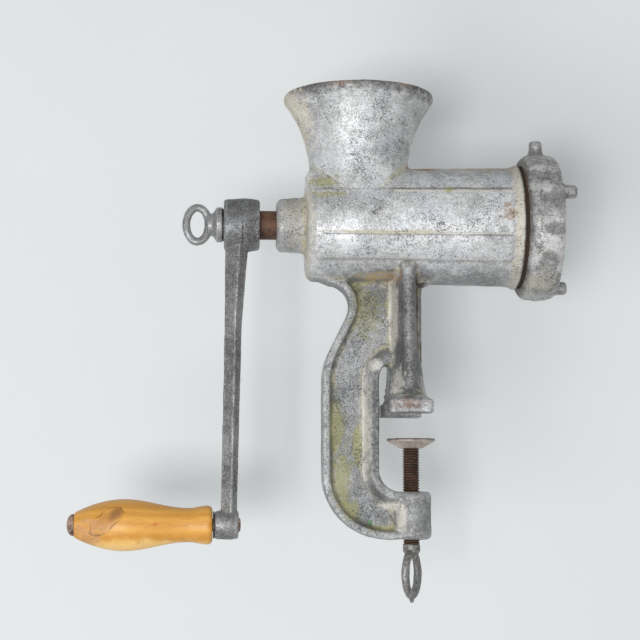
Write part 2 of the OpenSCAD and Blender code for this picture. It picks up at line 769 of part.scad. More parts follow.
// Lug standing on Z = 0, with a flared root and a rounded tip
module lug(depth) {
    r = lug_d / 2;
    round = r * 0.55;
    root = r * 1.35;
    rotate_extrude() polygon(concat(
        [[0, -depth], [root, -depth], [root, -lug_h * 0.06], [r * 1.1, lug_h * 0.13], [r, lug_h * 0.34]],
        arc([r - round, lug_h - round], round, 0, 90, 4), [[0, lug_h]]));
}

module ring_nut() {
    bore = neck_r + thread_gap;
    crest_x = ring_x + ring_w / 2;
    rear_round = ring_w * 0.26;
    rear_rise = ring_r - ring_rear_r;
    front_fall = ring_r - ring_front_r;
    chamfer = 2;
    lug_root = 3;
    color("darkgray") on_axis() rotate([0, 0, ring_angle]) difference() {
        union() {
            difference() {
                rotate_extrude() polygon(concat(
                    [[bore, ring_x], [ring_rear_r, ring_x]],
                    [for (t = [0.25:0.25:1])
                        [ring_rear_r + rear_rise * 0.9 * sin(90 * t),
                         ring_x + rear_round * (1 - cos(90 * t))]],
                    [[ring_r, crest_x]],
                    [for (t = [0.25:0.25:1])
                        [ring_r - front_fall * (1 - cos(90 * t)),
                         crest_x + (ring_front - crest_x) * sin(90 * t)]],
                    [[outlet_r + chamfer, ring_front], [outlet_r, ring_front - chamfer],
                     [outlet_r, lip_x], [bore, lip_x]]));
                for (i = [0:flutes - 1]) rotate([0, 0, 360 * (i + 0.5) / flutes])
                    translate([-ring_r - flute_r + flute_depth, 0, 0])
                        bar(flute_r, ring_x + rear_round, ring_front + 1);
            }
            for (i = [0:2]) rotate([0, 0, 120 * i]) {
                translate([sunk - ring_r, 0, crest_x]) rotate([0, -90, 0]) lug(lug_root);
                rotate([0, 0, 60]) translate([-lug_circle_r, 0, ring_front]) lug(lug_root);
            }
        }
        bar(bore, ring_x - 1, lip_x);
    }
}

// Lozenge section of the crank arm: width along X, depth along Y, ridges facing forwards and back
function arm_section(left, w, d) =
    let (ridge = left + w * arm_ridge)
    [[left, -d / 4], [ridge, -d / 2], [left + w, -d / 4], [left + w, d / 4], [ridge, d / 2], [left, d / 4]];

// Boss about Z with rounded ends, a little fuller at its ridge
module boss(r, draft, from, to, ridge) {
    round = 1.4;
    rotate_extrude() polygon(concat(
        [[0, from]],
        arc([r - draft - round, from + round], round, -90, 0, 3),
        [[r, from + (to - from) * ridge]],
        arc([r - draft - round, to - round], round, 0, 90, 3),
        [[0, to]]));
}

module crank_arm() {
    sink = 3;
    hub_low = axis_h - hub_r + sink;
    arm_mid = axis_h - crank_r / 3;
    arm_low = grip_z + low_boss_r - sink;
    arm_x = hub_x0 + arm_in;
    top = arm_section(arm_x, arm_top_w, arm_top_d);
    middle = arm_section(arm_x, arm_mid_w, (arm_top_d + arm_low_d) / 2);
    low = arm_section(arm_x - arm_lean, arm_low_w, arm_low_d);
    hole = square_w + 2 * run_gap;
    color("gray") difference() {
        union() {
            on_axis() boss(hub_r, hub_draft, hub_x0, hub_x1, 0.62);
            stack([arm_low, arm_mid, hub_low], [low, middle, top]);
            on_grip_axis() boss(low_boss_r, 0.5, low_boss_x0, low_boss_x1, 0.6);
        }
        on_axis() translate([-hole / 2, -hole / 2, hub_x0 - 1]) cube([hole, hole, hub_len + 2]);
        on_grip_axis() bar(spindle_r + fit_gap, low_boss_x0 - 1, low_boss_x1 + 1);
    }
}

module crank_washer() {
    color("saddlebrown") on_axis() difference() {
        bar(crank_washer_r, hub_x0 - crank_washer_t, hub_x0 - fit_gap);
        bar(eye_stud_r + slide_gap, hub_x0 - crank_washer_t - 1, hub_x0 + 1);
    }
}

// Oval eye with a flat neck that spreads into a round collar
module eye_screw() {
    neck_x = collar_x - eye_collar_t - eye_cone_len;
    neck_rear = neck_x - eye_limb * 0.6;
    color("darkgray") difference() {
        union() {
            translate([eye_x, 0, axis_h]) oval_ring(eye_w, eye_h, eye_limb, eye_t);
            on_axis() rotate_extrude() polygon([
                [0, neck_rear], [eye_neck_w / 2 - 0.4, neck_rear], [eye_neck_w / 2, neck_x],
                [eye_collar_r, collar_x - eye_collar_t], [eye_collar_r, collar_x], [0, collar_x]]);
        }
        on_axis() bar(eye_stud_r + fit_gap, collar_x - eye_collar_t - 0.5, collar_x + 1);
    }
}

module eye_screw_stud() {
    color("saddlebrown") on_axis()
        bar(eye_stud_r, collar_x - eye_collar_t, collar_x + crank_washer_t + eye_stud_len);
}

// Radius of the grip at a distance from its outer end
function grip_radius(x) =
    x < grip_belly_at ?
        grip_end_r + (grip_belly_r - grip_end_r) * pow(sin(90 * x / grip_belly_at), 0.85) :
    x < grip_waist_at ?
        let (t = (x - grip_belly_at) / (grip_waist_at - grip_belly_at))
        grip_waist_r + (grip_belly_r - grip_waist_r) * (1 + cos(180 * t)) / 2 :
    let (t = (x - grip_waist_at) / (grip_len - grip_bead_len - grip_waist_at))
        grip_waist_r + (grip_bead_r - grip_waist_r) * (1 - cos(180 * t)) / 2;

module grip() {
    stations = 30;
    bead_x = grip_len - grip_bead_len;
    color("goldenrod") on_grip_axis() difference() {
        translate([0, 0, grip_x0]) rotate_extrude() polygon(concat(
            [[0, 0]],
            [for (i = [0:stations]) let (x = bead_x * i / stations) [grip_radius(x), x]],
            arc([grip_bead_r - grip_bead_len, bead_x], grip_bead_len, 18, 90, 4), [[0, grip_len]]));
        bar(spindle_r + run_gap, grip_x0 - 1, grip_x1 + 1);
    }
}

// Rivet with a domed head outside the grip, peened behind the crank's boss
module grip_spindle() {
    base = grip_x0 - slide_gap;
    edge = 0.8;
    peen_x = low_boss_x1 + fit_gap;
    color("saddlebrown") on_grip_axis() {
        bar(spindle_r, base - 1, peen_x);
        rotate_extrude() polygon(concat(
            [for (a = [0:15:90]) [head_r * sin(a), base - edge - (head_h - edge) * cos(a)]],
            [[head_r, base], [0, base]]));
        rotate_extrude() polygon([[0, peen_x], [spindle_r + 0.5, peen_x], [spindle_r, peen_x + peen_h * 0.7],
                                  [spindle_r * 0.5, peen_x + peen_h], [0, peen_x + peen_h]]);
    }
}

module grip_washer() {
    color("darkslategray") on_grip_axis() difference() {
        bar(grip_washer_r, low_boss_x0 - grip_washer_t, low_boss_x0 - fit_gap);
        bar(spindle_r + run_gap, low_boss_x0 - grip_washer_t - 1, low_boss_x0 + 1);
    }
}

module clamp_screw() {
    color("saddlebrown") {
        bar(screw_r, collar_top + fit_gap, screw_top);
        bar(pivot_r, screw_top - 1, pivot_top);
        bar(tang_r, collar_top - tang_len, collar_top + 1);
    }
}

// Thumb loop cast on the lower end of the clamp screw
module clamp_wing() {
    loop_top = collar_top - 2;
    collar_low = collar_top - loop_collar;
    nib = 1.8;
    color("darkgray") difference() {
        rotate([0, 0, loop_turn]) union() {
            translate([0, 0, loop_top - loop_h / 2]) oval_ring(loop_w, loop_h, loop_limb, loop_t);
            rotate_extrude() polygon([[0, collar_low], [loop_t / 2, collar_low],
                [screw_r, collar_top - loop_collar / 2], [screw_r, collar_top], [0, collar_top]]);
            translate([0, 0, loop_top - loop_h - nib]) cylinder(r1 = 0.9, r2 = 1.7, h = nib + loop_limb / 4);
        }
        bar(tang_r + fit_gap, collar_top - tang_len - fit_gap, collar_top + 1);
    }
}

// Dished disc that turns on the pivot at the top of the clamp screw
module pressure_pad() {
    edge = 0.4;
    color("dimgray") difference() {
        rotate_extrude() polygon([[0, disc_top - disc_h], [disc_neck_r, disc_top - disc_h],
            [disc_r - edge, disc_top - disc_rim], [disc_r, disc_top - disc_rim + edge],
            [disc_r, disc_top - edge], [disc_r - edge, disc_top], [0, disc_top]]);
        bar(pivot_r + run_gap, disc_top - disc_h - 1, pivot_top + slide_gap);
    }
}

body_casting();
plate_key();
thrust_washer();
feed_worm();
worm_shank();
worm_stud();
knife();
hole_plate();
ring_nut();
crank_arm();
crank_washer();
eye_screw();
eye_screw_stud();
grip();
grip_spindle();
grip_washer();
clamp_screw();
clamp_wing();
pressure_pad();
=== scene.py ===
"""Hand-cranked meat grinder with a table clamp: finishes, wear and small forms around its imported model."""
import json
import math

import bmesh
import bpy
import numpy as np
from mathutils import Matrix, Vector

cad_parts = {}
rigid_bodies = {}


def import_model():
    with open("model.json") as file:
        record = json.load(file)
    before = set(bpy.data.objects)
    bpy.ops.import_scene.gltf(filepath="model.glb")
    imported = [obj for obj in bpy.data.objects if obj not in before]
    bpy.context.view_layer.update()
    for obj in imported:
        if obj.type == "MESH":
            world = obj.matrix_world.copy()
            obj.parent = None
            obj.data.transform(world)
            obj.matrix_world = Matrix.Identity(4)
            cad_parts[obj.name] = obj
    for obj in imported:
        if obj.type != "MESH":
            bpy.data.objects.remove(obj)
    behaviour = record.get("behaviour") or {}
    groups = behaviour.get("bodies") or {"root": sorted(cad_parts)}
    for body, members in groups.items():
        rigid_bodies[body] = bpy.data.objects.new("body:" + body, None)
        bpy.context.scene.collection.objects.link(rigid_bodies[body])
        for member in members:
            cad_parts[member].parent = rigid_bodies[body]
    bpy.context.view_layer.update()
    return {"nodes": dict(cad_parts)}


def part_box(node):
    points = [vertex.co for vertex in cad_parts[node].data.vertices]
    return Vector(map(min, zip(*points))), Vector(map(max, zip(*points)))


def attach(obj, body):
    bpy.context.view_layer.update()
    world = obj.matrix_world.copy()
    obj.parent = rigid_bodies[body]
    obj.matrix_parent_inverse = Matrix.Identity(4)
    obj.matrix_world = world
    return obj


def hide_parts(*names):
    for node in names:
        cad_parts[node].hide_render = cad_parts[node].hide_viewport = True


bl_info = {
    "name": "Meat grinder",
    "version": (1, 0, 0),
    "blender": (4, 5, 0),
    "location": "3D View > Sidebar > Grinder",
    "description": "Dresses the packed model of a hand-cranked meat grinder",
    "category": "Object",
}

for leftover in list(bpy.data.objects):
    bpy.data.objects.remove(leftover)
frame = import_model()

MM = 0.001


# Properties

def colour(name, description, value):
    """A colour that a user would change."""
    return bpy.props.FloatVectorProperty(
        name=name, description=description, subtype="COLOR", size=3, min=0.0, max=1.0, default=value)


def length(name, description, value):
    """A length in metres that a user would change."""
    return bpy.props.FloatProperty(
        name=name, description=description, subtype="DISTANCE", unit="LENGTH", precision=5, default=value)


def angle(name, description, degrees):
    """An angle that a user would change."""
    return bpy.props.FloatProperty(
        name=name, description=description, subtype="ANGLE", unit="ROTATION", default=math.radians(degrees))


def amount(name, description, value, unit="NONE"):
    """A number that a user would change."""
    return bpy.props.FloatProperty(name=name, description=description, unit=unit, default=value)


class GrinderStage(bpy.types.PropertyGroup):
    """Camera, lamps and backdrop."""
    target: bpy.props.FloatVectorProperty(
        name="Target", description="Point at the middle of the picture", subtype="XYZ", unit="LENGTH",
        default=(-0.0533, 0.0, 0.0558))
    azimuth: angle("Azimuth", "Turn of the camera about the upright", -3.44)
    elevation: angle("Elevation", "Height of the camera above the level", -6.13)
    distance: length("Distance", "Distance from the camera to the target", 0.9807)
    lens: amount("Lens", "Focal length on a 36 mm wide sensor", 93.8, "CAMERA")
    backdrop_gap: length("Backdrop gap", "Distance of the backdrop behind the turning crank", 0.006)
    backdrop_reach: length("Backdrop reach", "Radius at which the backdrop has faded out", 0.80)
    backdrop_colour: colour("Backdrop", "Colour of the pale backdrop", (0.808, 0.838, 0.849))
    sky_colour: colour("Surroundings", "Colour of the surroundings as the lens sees them", (0.74, 0.77, 0.78))
    sky_level: amount("Surroundings level", "Strength of the light from all round", 0.36)
    key_power: amount("Key lamp", "Power of the lamp in front", 14.5, "POWER")
    fill_power: amount("Fill lamp", "Power of the lamp at the right", 6.0, "POWER")
    side_power: amount("Side lamp", "Power of the lamp at the lower left", 14.0, "POWER")
    rear_power: amount("Rear lamps", "Power of each lamp behind the object", 2.0, "POWER")


class GrinderFinish(bpy.types.PropertyGroup):
    """Colours of the finishes."""
    tin_light: colour("Tin, bright", "Clean tinned iron", (0.84, 0.855, 0.87))
    tin_dark: colour("Tin, dull", "Tin that has greyed", (0.42, 0.425, 0.425))
    tin_bloom: colour("Tin bloom", "Blue-grey bloom on the tin", (0.60, 0.655, 0.72))
    # Also the colour of the painted glints
    tin_worn_and_glint: colour("Worn edge", "Metal rubbed bright on the edges", (0.80, 0.80, 0.79))
    cream: colour("Pale grime", "Cream deposit in the corners", (0.64, 0.59, 0.45))
    olive: colour("Green grime", "Yellow-green deposit in the corners", (0.42, 0.40, 0.17))
    pit: colour("Pit", "Dirt in the casting's pits", (0.085, 0.08, 0.075))
    iron_light: colour("Iron, bright", "Handled parts of the bare castings", (0.30, 0.305, 0.305))
    iron_dark: colour("Iron, dark", "Dull parts of the bare castings", (0.10, 0.10, 0.098))
    rust_light: colour("Rust, light", "Dry rust", (0.185, 0.088, 0.046))
    rust_dark: colour("Rust, dark", "Old rust", (0.040, 0.022, 0.015))
    steel_light: colour("Steel, bright", "Ground steel", (0.66, 0.66, 0.65))
    steel_dark: colour("Steel, dull", "Stained steel", (0.27, 0.26, 0.245))
    wood_light: colour("Wood, light", "Early wood under the varnish", (0.81, 0.425, 0.080))
    wood_dark: colour("Wood, dark", "Late wood under the varnish", (0.64, 0.285, 0.043))
    wood_stain: colour("Wood stain", "Dark edge of the stain on the grip", (0.13, 0.052, 0.018))
    wood_bare: colour("Worn wood", "Wood where the varnish has gone", (0.60, 0.34, 0.19))


class GrinderSizes(bpy.types.PropertyGroup):
    """Sizes of the small forms."""
    casting_grid: length("Casting grid", "Mesh spacing on the body casting", 1.1 * MM)
    ring_grid: length("Ring grid", "Mesh spacing on the ring nut", 0.7 * MM)
    crank_grid: length("Crank grid", "Mesh spacing on the crank arm", 0.6 * MM)
    worm_grid: length("Worm grid", "Mesh spacing on the feed worm", 0.9 * MM)
    small_grid: length("Small grid", "Mesh spacing on the small castings", 0.35 * MM)
    casting_hollow: length("Casting hollow", "Radius of the hollows between the casting's limbs", 3.2 * MM)
    casting_edge: length("Casting edge", "Radius of the casting's edges", 1.0 * MM)
    screw_pitch: length("Clamp pitch", "Pitch of the clamp screw's thread", 1.5 * MM)
    eye_pitch: length("Eye pitch", "Pitch of the eye screw's thread", 1.25 * MM)
    neck_pitch: length("Neck pitch", "Pitch of the thread under the ring nut", 3.0 * MM)
    grip_belly_r: length("Belly radius", "Greatest radius of the grip", 14.9 * MM)
    grip_belly_at: length("Belly place", "Distance of the belly from the outer end", 28.5 * MM)
    grip_end_r: length("Outer end radius", "Radius of the grip at its outer end", 7.0 * MM)
    grip_waist_r: length("Waist radius", "Radius of the grip's waist", 9.8 * MM)
    grip_waist_at: length("Waist place", "Distance of the waist from the outer end", 65.5 * MM)
    grip_bead_r: length("Bead radius", "Radius of the bead beside the crank", 11.2 * MM)
    grip_bead_len: length("Bead length", "Length of the bead's rounded end", 2.8 * MM)


# Meshes

# Points closer than this are joined
WELD = 0.005 * MM
# Lumps of a cast skin: their wavelengths, and the share of the fine ones
COARSE_LUMPS = 14 * MM
FINE_LUMPS = 5 * MM
FINE_SHARE = 0.6
# Lumps start this far from a bore's wall and are whole after this much more
BORE_MARGIN = 0.3 * MM
BORE_FADE = 1.0 * MM
# Hollows and edges are judged against a mean over about this reach, and count in full at this depth
BEND_REACH = 1.1 * MM
BEND_DEPTH = 0.30 * MM


def new_piece(name, points, faces):
    """A mesh object at the origin from arrays of points and of faces."""
    mesh = bpy.data.meshes.new(name)
    mesh.from_pydata(points.tolist(), [], faces)
    mesh.update()
    mesh.polygons.foreach_set("use_smooth", np.ones(len(mesh.polygons), bool))
    piece = bpy.data.objects.new(name, mesh)
    bpy.context.scene.collection.objects.link(piece)
    return piece


def turned(name, along, radius, centre, axis, closed=False):
    """A form about an axis: point (i, j) lies at along[i] on the axis, at radius[i, j] and angle 2 pi j / n.
    An open form is capped at both ends; a closed one joins its last ring to its first."""
    rings, n = radius.shape
    turn = 2 * np.pi * np.arange(n) / n
    across = radius * np.cos(turn)
    up = radius * np.sin(turn)
    run = np.repeat(along[:, None], n, 1)
    order = {"X": (run, across, up), "Z": (across, up, run)}[axis]
    points = np.stack(order, -1).reshape(-1, 3) + np.array(centre)
    last = rings if closed else rings - 1
    i, j = np.meshgrid(np.arange(last), np.arange(n), indexing="ij")
    here = i * n
    there = (i + 1) % rings * n
    beside = (j + 1) % n
    quads = np.stack([here + j, here + beside, there + beside, there + j], -1).reshape(-1, 4)
    faces = quads.tolist()
    if not closed:
        ring = np.arange(n)
        faces.append(ring[::-1].tolist())
        faces.append((ring + (rings - 1) * n).tolist())
    return new_piece(name, points, faces)


def thread_depth(along, turns_at, pitch):
    """Share of the thread's depth at each place and angle: a vee with a flat crest, one pitch a turn."""
    phase = (along[:, None] / pitch - turns_at[None, :]) % 1.0
    return np.clip(np.abs(2 * phase - 1) * 1.25 - 0.12, 0.0, 1.0)


def merged_copy(node, name):
    """A copy of a CAD node's mesh with its loose triangles joined up."""
    shape = bmesh.new()
    shape.from_mesh(frame["nodes"][node].data)
    bmesh.ops.remove_doubles(shape, verts=shape.verts, dist=WELD)
    mesh = bpy.data.meshes.new(name)
    shape.to_mesh(mesh)
    shape.free()
    return mesh


def even_grid(node, name, grid):
    """The node's form on an even grid of quads, as a mesh."""
    rough = bpy.data.objects.new(name + "_rough", merged_copy(node, name + "_rough"))
    bpy.context.scene.collection.objects.link(rough)
    remesh = rough.modifiers.new("grid", "REMESH")
    remesh.mode = "VOXEL"
    remesh.voxel_size = grid
    ready = rough.evaluated_get(bpy.context.evaluated_depsgraph_get())
    mesh = bpy.data.meshes.new_from_object(ready)
    mesh.name = name
    bpy.data.objects.remove(rough)
    return mesh


def numbers(items, field, width, kind=np.float32):
    """One field of a mesh's items as an array with so many columns."""
    flat = np.empty(len(items) * width, kind)
    items.foreach_get(field, flat)
    return flat.reshape(-1, width)


def neighbour_mean(values, edges, count):
    """Mean of the values at the points that share an edge with each point."""
    a, b = edges.T
    n = len(values)
    total = [np.bincount(a, values[b, k], n) + np.bincount(b, values[a, k], n) for k in range(3)]
    return np.stack(total, -1) / count[:, None]


def point_normals(points, quads):
    """Unit normals: the sum of the cross products of the diagonals of the quads round each point."""
    corner = points[quads]
    face = np.cross(corner[:, 2] - corner[:, 0], corner[:, 3] - corner[:, 1])
    n = len(points)
    total = np.stack([np.bincount(quads.ravel(), np.repeat(face[:, k], 4), n) for k in range(3)], -1)
    return total / np.maximum(np.linalg.norm(total, axis=1), 1e-20)[:, None]


def lumps(points, wavelength, seed):
    """Uneven skin of a sand casting: the sum of plane waves in seeded directions, about one unit high."""
    waves = 24
    draw = np.random.default_rng(seed)
    direction = draw.normal(size=(waves, 3))
    direction /= np.linalg.norm(direction, axis=1)[:, None]
    pace = 2 * np.pi / (wavelength * draw.uniform(0.6, 1.6, waves))
    phase = draw.uniform(0, 2 * np.pi, waves)
    return np.cos(points @ direction.T * pace + phase).sum(1) / math.sqrt(waves / 2)


def clear_of(points, bores):
    """1 on plain skin, falling to 0 on the walls of bores, each given as a point, an axis and a radius."""
    free = np.ones(len(points))
    for centre, axis, radius in bores:
        away = points - np.array(centre)
        k = "XYZ".index(axis)
        away[:, k] = 0.0
        free *= np.clip((np.linalg.norm(away, axis=1) - radius - BORE_MARGIN) / BORE_FADE, 0.0, 1.0)
    return free


def note(mesh, label, values):
    """Keeps one number at each point of a mesh under a name that a finish can read."""
    mesh.attributes.new(label, "FLOAT", "POINT").data.foreach_set("value", values.astype(np.float32).ravel())


def cast_piece(node, body, slot, grid, hollow_r, edge_r, rough, seed, bores=()):
    """The node as a casting: on an even grid, each point moves along its normal wherever the surface bends
    tighter than the wanted radius (the mean of a point's neighbours lies h * h / 4 r off a bend of radius r),
    then the skin gets its lumps. Where the skin is hollow, is sharp or faces -X is kept in attributes."""
    mesh = even_grid(node, node + "_cast", grid)
    points = numbers(mesh.vertices, "co", 3).astype(float)
    edges = numbers(mesh.edges, "vertices", 2, np.int32)
    quads = numbers(mesh.loops, "vertex_index", 1, np.int32).reshape(-1, 4)
    count = np.bincount(edges.ravel(), minlength=len(points)).astype(float)
    hollow_limit = grid * grid / (4 * hollow_r)
    edge_limit = grid * grid / (4 * edge_r)
    for _ in range(int(20 + 1.2 * (hollow_r / grid) ** 2)):
        normal = point_normals(points, quads)
        bend = ((neighbour_mean(points, edges, count) - points) * normal).sum(1)
        move = np.maximum(bend - hollow_limit, 0.0) + np.minimum(bend + edge_limit, 0.0)
        points += 0.7 * normal * move[:, None]
    normal = point_normals(points, quads)
    skin = clear_of(points, bores)
    height = lumps(points, COARSE_LUMPS, seed) + FINE_SHARE * lumps(points, FINE_LUMPS, seed + 1)
    points += normal * (rough * skin * height)[:, None]
    smooth = points.copy()
    for _ in range(int(4 + 2 * (BEND_REACH / grid) ** 2)):
        smooth = neighbour_mean(smooth, edges, count)
    bend = ((smooth - points) * normal).sum(1) / BEND_DEPTH
    mesh.vertices.foreach_set("co", points.astype(np.float32).ravel())
    note(mesh, "crevice", np.clip(bend, 0, 1))
    note(mesh, "edge", np.clip(-bend, 0, 1))
    note(mesh, "lean", np.clip(-normal[:, 0], 0, 1))
    mesh.materials.clear()
    mesh.polygons.foreach_set("use_smooth", np.ones(len(mesh.polygons), bool))
    mesh.update()
    piece = bpy.data.objects.new(node + "_cast", mesh)
    bpy.context.scene.collection.objects.link(piece)
    return settle(piece, body, slot, node)


def settle(piece, body, slot, *nodes):
    """Lets a piece ride on its body in place of the nodes that it stands for. Its material slot is not used.
    """
    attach(piece, body)
    if nodes:
        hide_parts(*nodes)
    return piece


def paint(piece, material):
    """Gives a new piece its one material."""
    piece.data.materials.clear()
    piece.data.materials.append(material)


def dress(node, material):
    """Gives a CAD node that is shown as it is a better material."""
    for place in frame["nodes"][node].material_slots:
        place.material = material


# Shader nodes

def send(tree, node, inputs):
    """Gives a node's inputs their values, or links them to the outputs of other nodes."""
    for key, value in inputs.items():
        if isinstance(value, bpy.types.NodeSocket):
            tree.links.new(value, node.inputs[key])
        else:
            node.inputs[key].default_value = value


def node_in(tree, kind, inputs=None, **settings):
    """A node with its settings, whose inputs are values or the outputs of other nodes."""
    made = tree.nodes.new(kind)
    for key, value in settings.items():
        setattr(made, key, value)
    send(tree, made, inputs or {})
    return made


def calc(tree, operation, first, second=0.0, clamp=False):
    """Output of a Math node."""
    values = {0: first, 1: second}
    return node_in(tree, "ShaderNodeMath", values, operation=operation, use_clamp=clamp).outputs[0]


def times(tree, first, second, clamp=False):
    """Product of two values."""
    return calc(tree, "MULTIPLY", first, second, clamp)


def less(tree, first, second):
    """First value less the second."""
    return calc(tree, "SUBTRACT", first, second)


def apart(tree, first, second):
    """Distance between two values."""
    return calc(tree, "ABSOLUTE", less(tree, first, second))


def vector_calc(tree, operation, first, second=(0, 0, 0), output="Vector"):
    """Output of a Vector Math node."""
    values = {0: first, 1: second}
    return node_in(tree, "ShaderNodeVectorMath", values, operation=operation).outputs[output]


def total(tree, *terms):
    """Sum of values, each times its weight."""
    shares = [times(tree, value, weight) for value, weight in terms]
    result = shares[0]
    for share in shares[1:]:
        result = calc(tree, "ADD", result, share)
    return result


def mark_on(tree, label):
    """A number that the mesh keeps at its points, or 0 where it keeps none."""
    return node_in(tree, "ShaderNodeAttribute", attribute_name=label).outputs["Fac"]


def speckle(tree, vector, scale, detail=3.0, roughness=0.5):
    """Output of a Noise node."""
    values = {"Vector": vector, "Scale": scale, "Detail": detail, "Roughness": roughness}
    return node_in(tree, "ShaderNodeTexNoise", values).outputs[0]


def ramp(tree, value, low, high, start=0.0, end=1.0):
    """A smooth step from start, where the value is low, to end, where it is high."""
    values = {"Value": value, "From Min": low, "From Max": high, "To Min": start, "To Max": end}
    return node_in(tree, "ShaderNodeMapRange", values, interpolation_type="SMOOTHSTEP").outputs[0]


def blend(tree, factor, first, second, mode="MIX"):
    """A mix of two colours."""
    def four(value):
        return value if isinstance(value, bpy.types.NodeSocket) else (*value, 1.0)
    values = {0: factor, 6: four(first), 7: four(second)}
    return node_in(tree, "ShaderNodeMix", values, data_type="RGBA", blend_type=mode).outputs[2]


def lay(tree, base, mask, share, tint, mode="MIX"):
    """A base colour with a share of a tint laid over it where a mask says so."""
    return blend(tree, times(tree, mask, share), base, tint, mode)


def new_group(name, inputs, outputs):
    """An empty node group with named sockets: its tree, the sockets that it is given and its output node.
    An input is a number with that default or, where it is None, a vector."""
    tree = bpy.data.node_groups.new(name, "ShaderNodeTree")
    for label, value in inputs.items():
        kind = "NodeSocketVector" if value is None else "NodeSocketFloat"
        socket = tree.interface.new_socket(name=label, in_out="INPUT", socket_type=kind)
        if value is not None:
            socket.default_value = value
    for label in outputs:
        tree.interface.new_socket(name=label, in_out="OUTPUT", socket_type="NodeSocketFloat")
    return tree, tree.nodes.new("NodeGroupInput").outputs, tree.nodes.new("NodeGroupOutput")


def group(tree, name, **inputs):
    """A node group placed in a material with its own values."""
    values = {key.capitalize(): value for key, value in inputs.items()}
    return node_in(tree, "ShaderNodeGroup", values, node_tree=bpy.data.node_groups[name])


def make_cast_skin():
    """Sand-cast skin: tone mottled at three scales, clustered specks of two sizes, and the height of both."""
    tree, given, out = new_group("Cast skin", {"Place": None, "Pitting": 0.5}, ["Tone", "Pits", "Height"])
    place = given["Place"]
    middle = speckle(tree, place, 190.0, 5.0, 0.62)
    fine = speckle(tree, place, 900.0, 3.0, 0.6)
    tone = total(tree, (speckle(tree, place, 38.0), 0.34), (middle, 0.28), (fine, 0.38))
    cluster = speckle(tree, place, 60.0, 3.0, 0.6)
    lean = total(tree, (cluster, 0.65), (given["Pitting"], 0.3))
    grit = calc(tree, "ADD", speckle(tree, place, 620.0, 4.0, 0.62), lean)
    dots = total(tree, (speckle(tree, place, 1500.0, 2.0), 1.0), (lean, 0.6))
    pits = calc(tree, "MAXIMUM", ramp(tree, grit, 1.125, 1.205), ramp(tree, dots, 0.885, 0.965))
    height = total(tree, (middle, 0.6), (fine, 0.3), (pits, -0.35))
    send(tree, out, {"Tone": ramp(tree, tone, 0.38, 0.62), "Pits": pits, "Height": height})


def make_ellipsoid_mark():
    """A mark about a point, used for stain, painted highlight and painted shade alike: an ellipsoid whose
    edge is broken up, and the line along that edge.
    """
    inputs = {"Place": None, "Breakup": 0.5, "Centre": None, "Size": None, "Ragged": 0.5}
    tree, given, out = new_group("Stain", inputs, ["Mask", "Rim"])
    away = vector_calc(tree, "SUBTRACT", given["Place"], given["Centre"])
    share = vector_calc(tree, "DIVIDE", away, given["Size"])
    far = vector_calc(tree, "LENGTH", share, output="Value")
    shake = times(tree, less(tree, given["Breakup"], 0.5), 4.0)
    far = calc(tree, "ADD", far, times(tree, shake, given["Ragged"]))
    line = apart(tree, far, 0.92)
    send(tree, out, {"Mask": ramp(tree, far, 1.0, 0.45), "Rim": ramp(tree, line, 0.10, 0.02)})


def make_handling():
    """Deposits in hollows, pale and green by patches, the sharpest creases darkened, bare metal on edges."""
    outputs = ["Grime", "Green", "Crease", "Wear"]
    tree, given, out = new_group("Handling", {"Place": None, "Grime": 1.0, "Wear": 1.0}, outputs)
    place = given["Place"]
    hollow = mark_on(tree, "crevice")
    patch = ramp(tree, speckle(tree, place, 95.0, 5.0, 0.65), 0.38, 0.62)
    fine = ramp(tree, speckle(tree, place, 620.0, 3.0, 0.6), 0.38, 0.62)
    broken = total(tree, (patch, 0.65), (fine, 0.35))
    dirt = times(tree, ramp(tree, hollow, 0.15, 0.75), broken)
    bare = times(tree, ramp(tree, mark_on(tree, "edge"), 0.10, 0.80), fine)
    send(tree, out, {
        "Grime": times(tree, dirt, given["Grime"], True),
        "Green": ramp(tree, speckle(tree, place, 48.0), 0.50, 0.64),
        "Crease": times(tree, ramp(tree, hollow, 0.70, 1.0), less(tree, 1.0, patch)),
        "Wear": times(tree, bare, given["Wear"], True)})


